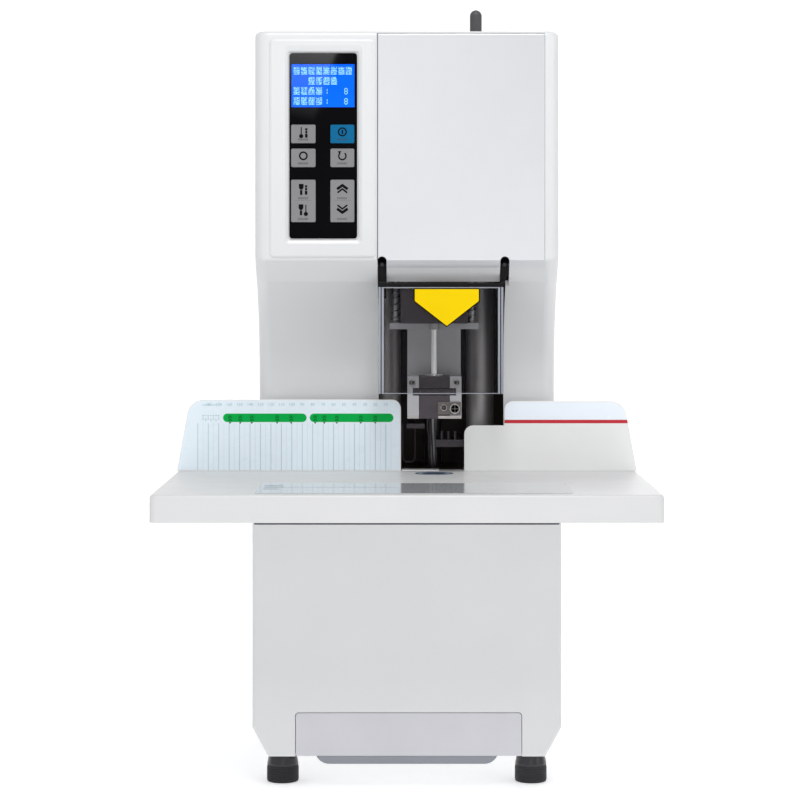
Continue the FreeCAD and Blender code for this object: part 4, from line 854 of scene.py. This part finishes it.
labelSetup = {
    "face": 24.0,
    "film": 0.12,
    "outline": [(94.3, 338.2, 0), (210.9, 338.2, 0), (207.8, 354.9, 16), (94.3, 354.9, 5.5)],
    "red": [(93.8, 334.7), (212.3, 334.7), (211.7, 337.9), (93.8, 337.9)],
    "redProud": 0.02,
}


def cornerWays(corners):  # each corner with the directions to its neighbours
    spots = [Vector(corner[:2]) for corner in corners]
    for i, here in enumerate(spots):
        yield corners[i], (spots[i - 1] - here).normalized(), (spots[(i + 1) % len(spots)] - here).normalized()


def roundCorners(corners, steps=7):  # corners hold (x, z, radius)
    outline = []
    for (x, z, radius), before, after in cornerWays(corners):
        if not radius:
            outline.append((x, z))
            continue
        half = before.angle(after) / 2
        run = radius / math.tan(half)
        here = Vector((x, z))
        middle = here + (before + after).normalized() * radius / math.sin(half)
        start, end = here + before * run - middle, here + after * run - middle
        for step in range(steps + 1):
            way = start.slerp(end, step / steps).normalized()
            outline.append(tuple(middle + way * radius))
    return [outline]


def insetCorners(corners, by):  # moves every side of a convex outline inwards
    made = []
    for (x, z, radius), before, after in cornerWays(corners):
        first, second = Vector((before.y, -before.x)), Vector((-after.y, after.x))
        turn = first + second
        shift = turn * (by / max(turn.dot(first), makingSetup["insetLimit"]))
        made.append((x + shift.x, z + shift.y, max(radius - by, 0)))
    return made


def drawFilm(name, shapes, face, lift, material):
    drawPiece(name, shapes, face, lift, "machine", material, "stop_film")


def makeFilmLines(v, top):
    first, pitch, count = v["lines"]
    strong, faint = [], []
    for n in range(count):
        for shapes, x, half in ((strong, first + n * pitch, v["lineHalf"]),
                                (faint, first + n * pitch + pitch / 2, v["faintHalf"])):
            shapes += rectangle(x - half, v["lineLow"], x + half, v["lineHigh"])
    drawFilm("film_lines", strong, top, v["ink"], "rulerInk")
    drawFilm("film_half_lines", faint, top, v["ink"], "rulerFaint")


def makeFilmNumbers(v, top):
    first, pitch, count = v["lines"]
    numbers = [(str(10 * (count - n)), first + n * pitch, v["numberLine"]) for n in range(1, count)]
    place(numerals("film_numbers", numbers, top, *v["number"]), "machine", "rulerInk", "stop_film")


def makeFilmBars(v, top):
    low, high = v["barLow"], v["barHigh"]
    corner = (high - low) / 2 - v["barFlat"]
    bars = [shape for start, end in v["bars"] for shape in roundedBox(start, low, end, high, corner, 8)]
    drawFilm("film_bars", bars, top, v["ink"], "rulerGreen")
    half, root, tip = v["tick"]
    ticks = [[(x - half, low - root), (x, low - tip), (x + half, low - root)] for x in v["pointers"]]
    drawFilm("film_ticks", ticks, top, v["ink"], "deepGreenInk")
    signs = []
    for x in v["pointers"]:
        for row in v["signRows"]:
            signs += boxes(x, low + row, v["sign"])
    drawFilm("film_bar_marks", signs, top - v["ink"], v["signInk"], "deepGreenInk")


def makeFilmLegend(top, ink):
    v = legendBlock
    columns, rows = v["count"]
    shapes = []
    for row in range(rows):
        for n in range(columns):
            x = v["start"][0] + n * v["pitch"][0]
            z = v["start"][1] - row * v["pitch"][1]
            shapes += rectangle(x, z, x + random.uniform(*v["wide"]), z + v["tall"])
            if n % 2 == row:
                shapes += boxes(x, z, [v["under"]])
    drawFilm("film_legend", shapes + rectangle(*v["rule"]), top, ink, "rulerInk")


def makeStopFilm():
    v = stopFilmSetup
    outline = roundCorners(insetCorners(v["outline"], v["edge"]))
    drawFilm("ruled_film", outline, v["face"], v["film"], "stopFilm")
    top = v["face"] - v["film"]
    makeFilmLines(v, top)
    makeFilmBars(v, top)
    makeFilmNumbers(v, top)
    makeFilmLegend(top, v["ink"])


def makeStopLabel():
    v = labelSetup
    outline = roundCorners(v["outline"])
    drawFilm("stop_label", outline, v["face"], v["film"], "labelFilm")
    drawFilm("guide_line", [v["red"]], v["face"], v["film"] + v["redProud"], "guideRed")


makeStopFilm()
makeStopLabel()
print("back stops finished")


# Swinging shield: polished edges, rounded yellow patch with a dark border, arm screws.

shieldSetup = {
    "face": -24.0,
    "edgeLift": 0.15,
    "edges": [(-26.6, 365.3, -24.55, 465.7), (-23.65, 365.3, -21.6, 465.7), (85.7, 365.3, 87.75, 465.7),
              (88.65, 365.3, 90.7, 465.7), (-21.5, 464.7, 85.6, 465.6), (-21.5, 365.4, 85.6, 366.1)],
    "patch": [(6.5, 464.8, 1.4), (6.5, 452.1, 1.4), (37.6, 427.9, 2.2), (68.7, 452.1, 1.4), (68.7, 464.8, 1.4)],
    "patchThick": 0.25,
    "border": (1.05, 0.03),     # width, thickness
    "armScrews": [(-23.3, 487.0), (92.3, 487.0)],
    "screwFace": -13.5,
    "screwLine": [(0.5, 0.6), (1.9, 0.6), (2.0, 0.1), (1.7, -0.35), (0.9, -0.6), (0.6, -0.35), (0.3, -0.3)],
}


def makeShieldEdges():
    v = shieldSetup
    edges = boxes(0, 0, v["edges"])
    drawPiece("shield_edges", edges, v["face"], v["edgeLift"], "shield", "clearEdge", "smoked_acrylic")


def makeShieldPatch():
    v = shieldSetup
    face, thick = v["face"], v["patchThick"]
    wide, lift = v["border"]
    outer = roundCorners(v["patch"])
    patch = drawPiece("yellow_patch", outer, face, thick, "shield", "patchYellow", "yellow_film")
    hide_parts("shield_patch")
    band = bandShapes(outer[0], roundCorners(insetCorners(v["patch"], wide))[0])
    drawPiece("patch_border", band, face - thick, lift, "shield", "patchEdge", "yellow_film")


def makeArmScrews():
    v = shieldSetup
    for n, (x, z) in enumerate(v["armScrews"]):
        screw = lathe("arm_screw_%d" % (n + 1), (x, v["screwFace"], z), v["screwLine"], "Y", 24)
        place(screw, "shield", "darkSteel", "black_metal")


makeShieldEdges()
makeShieldPatch()
makeArmScrews()
print("shield finished")


# Painted shade on the drawer lip, and the treads and collars of the feet.

lipSetup = {
    "face": -53.2,
    "shadow": 0.5,
    "soft": 0.15,
    "outline": [(-83.6, 31.2, 0), (-79.7, 23.95, 13), (79.7, 23.95, 13), (83.6, 31.2, 0)],
}

footSetup = {
    "places": [(-117, -13), (117, -13), (-117, 178), (117, 178)],
    "radius": 14.8,
    "neckRadius": 12.0,
    "neckStart": 14.5,
    "neckEnd": 30.4,
    "ridges": [2.6, 5.0, 7.4, 9.8, 12.2],
    "ridge": [(0.03, -0.75), (0.35, -0.35), (0.35, 0.35), (0.03, 0.75)],    # out from the foot, up
    "treadEnd": (-0.6, 1.4),
    "collar": [(-0.5, 15.6), (0.3, 16.0), (0.42, 17.2), (0.3, 24.0), (0.05, 25.0), (0.2, 25.4), (0.75, 26.4),
               (0.8, 29.2), (0.5, 30.0), (-0.5, 30.2)],
    "steps": 40,
}


# the darker piece over the lip is painted shade
def makeDrawerLip():
    v = lipSetup
    outline = roundCorners(v["outline"])
    shadow = drawPiece("drawer_lip_shadow", outline, v["face"], v["shadow"], "drawer", "lipGrey", "white_shell")
    bevelPiece(shadow, v["soft"])


def makeFootBands():
    v = footSetup
    base, ridges = v["radius"], v["ridges"]
    sink, end = v["treadEnd"]
    slope = (v["neckRadius"] - base) / (v["neckEnd"] - v["neckStart"])
    tread = [(base + sink, ridges[0] - end)]
    tread += [(base + out, z + up) for z in ridges for out, up in v["ridge"]]
    tread.append((base + sink, ridges[-1] + end))
    collar = [(base + slope * (z - v["neckStart"]) + out, z) for out, z in v["collar"]]
    for n, (x, y) in enumerate(v["places"]):
        for name, line, material in (("foot_tread_", tread, "rubberBlack"), ("foot_collar_", collar, "footGloss")):
            band = lathe(name + str(n + 1), (x, y, 0), line, "Z", v["steps"])
            place(band, "machine", material, "foot_rubber")


makeDrawerLip()
makeFootBands()
print("base finished")


# Clamp foot: screw rims with their dishes and slots, and the bright rails along its edges.

clampSetup = {
    "terminalFace": -11.6,
    "cheekFace": -9.2,
    "screws": [(34.9, 351.6, 3.0), (45.4, 350.6, 4.8)],
    "cheekScrews": [(6.0, 375.2, 2.2), (46.3, 375.2, 2.2)],
    "rimHigh": 0.45,
    "cheekRim": 0.7,            # share of that height
    "rimEdge": 0.08,            # share of a screw's radius
    # radius in rim edges and millimetres, station in rim heights and millimetres
    "rimLine": [(-2.4, 0, 0, 0.1), (0, 0, 0, 0.1), (0, 0.05, -0.4, 0), (-0.5, 0, -1, 0), (-1.6, 0, -0.8, 0),
                (-2.4, 0, 0, -0.05)],
    "dish": (0.8, 0.05),        # share of the radius, height
    "slot": (2.6, 0.32, 0.06),  # rim edges in from the outside, half its width, height
    "rails": [("cheek_rail", (0.8, 341.2, 11.3, 344.2), -8.0), ("terminal_rail", (29.6, 341.2, 51.5, 343.9), -10.4)],
    "railLift": 0.7,
    "railSoft": 0.25,
}


def makeScrewRims(name, spots, face, high):
    v = clampSetup
    dishShare, dishLift = v["dish"]
    reachEdges, half, slotLift = v["slot"]
    for n, (x, z, radius) in enumerate(spots):
        title = name + str(n + 1)
        edge = radius * v["rimEdge"]
        line = [(radius + edge * a + b, high * c + d) for a, b, c, d in v["rimLine"]]
        place(lathe(title, (x, face, z), line, "Y", 32), "clamp", "rimChrome", "polished_steel")
        dish = disc(x, z, radius * dishShare)
        drawPiece(title + "_dish", dish, face, dishLift, "clamp", "darkSteel", "polished_steel")
        slot = crossShapes(x, z, radius - edge * reachEdges, half)
        drawPiece(title + "_slot", slot, face - dishLift, slotLift, "clamp", "terminalNickel", "polished_steel")


def makeClampDetails():
    v = clampSetup
    makeScrewRims("terminal_rim_", v["screws"], v["terminalFace"], v["rimHigh"])
    makeScrewRims("cheek_rim_", v["cheekScrews"], v["cheekFace"], v["rimHigh"] * v["cheekRim"])
    for name, box, face in v["rails"]:
        rail = drawPiece(name, rectangle(*box), face, v["railLift"], "clamp", "rimChrome", "brushed_aluminium")
        bevelPiece(rail, v["railSoft"])


makeClampDetails()
print("clamp finished")


# A dark strip along the joint around the silver panel is painted shade in the seam.

seamShadeSetup = {
    "face": -22.0,
    "lift": 0.12,
    "strips": [(-28.0, 491.0, -27.45, 704.5), (-27.45, 704.05, 129.9, 704.5)],
}


def makeSeamShade():
    v = seamShadeSetup
    drawPiece("panel_seam_shade", boxes(0, 0, v["strips"]), v["face"], v["lift"], "machine", "gasketGrey", "white_shell")


# The keypad sits in a soft raised surround with sloping inner sides.

surroundSetup = {
    "face": -22.0,
    "proud": 1.5,
    "sink": 0.05,
    "shoulder": [(0.0, 0.0), (0.7, 0.3), (1.7, 0.78), (2.8, 1.0)],     # inwards, share of the rise
    "outer": [(-129.8, 699.6, 5), (-129.8, 492.8, 5), (-28.9, 492.8, 4), (-28.9, 699.6, 4)],
    "mouth": [(-114.6, 692.8, 3.4), (-114.6, 506.6, 3.4), (-42.0, 506.6, 3.4), (-42.0, 692.8, 3.4)],
    "rim": [(-112.7, 688.0, 2.6), (-112.7, 509.1, 2.6), (-44.5, 509.1, 2.6), (-44.5, 688.0, 2.6)],
    "deep": [(-111.3, 686.6, 2.0), (-111.3, 510.5, 2.0), (-45.9, 510.5, 2.0), (-45.9, 686.6, 2.0)],
    "rimFace": -22.12,
    "deepFace": -20.9,
    "soft": 0.35,
    "softAngle": 12,
}


def makeSurround():
    v = surroundSetup
    low, rise = v["face"] + v["sink"], v["proud"] + v["sink"]
    rings = [(insetCorners(v["outer"], by), low - share * rise) for by, share in v["shoulder"]]
    rings += [(v["mouth"], v["face"] - v["proud"]), (v["rim"], v["rimFace"]), (v["deep"], v["deepFace"])]
    bm = bmesh.new()
    loops = [[bm.verts.new((x * mm, y * mm, z * mm)) for x, z in roundCorners(corners)[0]]
             for corners, y in rings]
    joinRings(bm, zip(loops, loops[1:] + loops[:1]))
    bmesh.ops.recalc_face_normals(bm, faces=bm.faces)
    surround = meshObject("keypad_surround", bm)
    bevelPiece(surround, v["soft"], v["softAngle"])
    place(surround, "machine", "whiteShell", "white_shell")


makeSeamShade()
makeSurround()
print("panel joint and keypad surround finished")


# Screw slots on the rear cover and behind the stops, mains pins and switch marks.

backSetup = {
    "screwFace": 215.0,
    "coverScrews": [(-128, 284.7), (128, 284.7), (-128, 686.7), (128, 686.7)],
    "stopScrewFace": 293.7,
    "stopScrews": [(-190, 35), (-100, 35), (120, 35), (190, 35)],
    "slotReach": 2.1,
    "slotHalf": 0.38,
    "slotLift": 0.06,
    "pins": [72, 78, 84],
    "pinCorner": 0.5,
    "pinSoft": 0.3,
    "pinBox": ((-0.95, 0.95), (198.0, 212.2), (315.85, 320.15)),
    "markFace": 215.4,
    "bar": (57.6, 319.4, 58.4, 322.8),
    "circle": (58, 314.8, 1.1, 1.7),
}


def makeBackDetails():
    v = backSetup
    lift = v["slotLift"]
    for name, spots, face, plane in (("cover_screw_slots", v["coverScrews"], v["screwFace"], "back"),
                                     ("stop_screw_slots", v["stopScrews"], v["stopScrewFace"], "top")):
        shapes = [shape for x, z in spots for shape in crossShapes(x, z, v["slotReach"], v["slotHalf"])]
        drawPiece(name, shapes, face, lift, "machine", "chipBlack", "polished_steel", plane)
    (left, right), (front, rear), (low, high) = v["pinBox"]
    for n, x in enumerate(v["pins"]):
        box = roundedBox(x + left, low, x + right, high, v["pinCorner"])
        pin = drawPiece("mains_pin_%d" % (n + 1), box, front, rear - front, "machine", "springSteel",
                        "black_plastic", "back")
        bevelPiece(pin, v["pinSoft"])
    marks = rectangle(*v["bar"]) + ring(*v["circle"])
    drawPiece("switch_marks", marks, v["markFace"], lift, "rocker", "stopWhite", "black_plastic", "back")


makeBackDetails()
print("back finished")


# Painted shadow under the table, a painted reflection ring on the pad and the marks printed on the table plate.

frontSetup = {
    # a dark strip on the base front: painted shadow under the table's edge
    "tableShadow": (-141.6, 245.7, 141.6, 248.4, 1.2),
    "tableShadowFace": -54.0,
    "tableShadowLift": 0.12,
    "pad": (26, 0, 12.2, 15.4, 0, 360, 40),
    "padTop": 288.7,
    "padLift": 0.15,
    "plateTop": 289.1,
    "plateLift": 0.05,
    "plateCorner": 1.2,
    "plateBars": [(-126.5, -137, -110, -129), (-126.5, -152, -108, -145), (-126.5, -168, -112, -161)],
    "plateLine": (-106, -149, -8, -147.4),
}


def makeFrontDetails():
    v = frontSetup
    tableShadow = roundedBox(*v["tableShadow"])
    drawPiece("base_tableShadow", tableShadow, v["tableShadowFace"], v["tableShadowLift"], "machine", "gasketGrey", "white_shell")
    # the lighter ring on the pad is painted reflection
    drawPiece("pad_ring", ring(*v["pad"]), v["padTop"], v["padLift"], "pad", "padRing", "pad_nylon", "top")
    marks = [shape for bar in v["plateBars"] for shape in roundedBox(*bar, v["plateCorner"])]
    marks += rectangle(*v["plateLine"])
    drawPiece("plate_marks", marks, v["plateTop"], v["plateLift"], "machine", "boardInk", "gloss_board", "top")


makeFrontDetails()
print("front finished")


# The two clamp springs, wound as coils.

springSetup = {
    "centres": [(-10.5, 30.5), (62.5, 30.5)],
    "radius": 3.6,
    "wire": 0.6,
    "low": 431.1,
    "high": 524.9,
    "turns": 17,
    "endTurns": 1.25,
    "steps": 20,
    "sides": 8,
    "closed": 2.15,     # pitch of the end turns in wire radii
    "nudge": 0.01,      # part of a turn over which the slope is measured
    "seat": 525.0,
    "travel": 42.0,
}


def springHeight(turn):
    v = springSetup
    low, high, close = v["low"] + v["wire"], v["high"] - v["wire"], v["wire"] * v["closed"]
    ends, middle = v["endTurns"] * close, v["turns"] - 2 * v["endTurns"]
    if turn < v["endTurns"]:
        return low + turn * close
    if turn > v["turns"] - v["endTurns"]:
        return high - (v["turns"] - turn) * close
    return low + ends + (high - low - 2 * ends) * (turn - v["endTurns"]) / middle


def makeSprings():
    v = springSetup
    nudge = v["nudge"]
    bm = bmesh.new()
    for x, y in v["centres"]:
        rings = []
        for step in range(v["turns"] * v["steps"] + 1):
            turn = step / v["steps"]
            angle = 2 * math.pi * turn
            out = Vector((math.cos(angle), math.sin(angle), 0))
            centre = Vector((x, y, springHeight(turn))) + out * v["radius"]
            rise = (springHeight(turn + nudge) - springHeight(turn - nudge)) / (2 * nudge)
            along = Vector((-out.y, out.x, rise / (2 * math.pi * v["radius"]))).normalized()
            side = along.cross(out)
            row = [2 * math.pi * i / v["sides"] for i in range(v["sides"])]
            spots = [centre + (out * math.cos(a) + side * math.sin(a)) * v["wire"] for a in row]
            rings.append([bm.verts.new(spot * mm) for spot in spots])
        joinRings(bm, zip(rings, rings[1:]))
        bm.faces.new(rings[0])
        bm.faces.new(rings[-1])
    bmesh.ops.recalc_face_normals(bm, faces=bm.faces)
    coils = meshObject("clamp_coils", bm)
    evenNormals(coils)
    place(coils, "carriage", "springSteel", "spring_steel")
    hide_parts("clamp_springs")
    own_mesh(coils)


makeSprings()
print("springs wound")
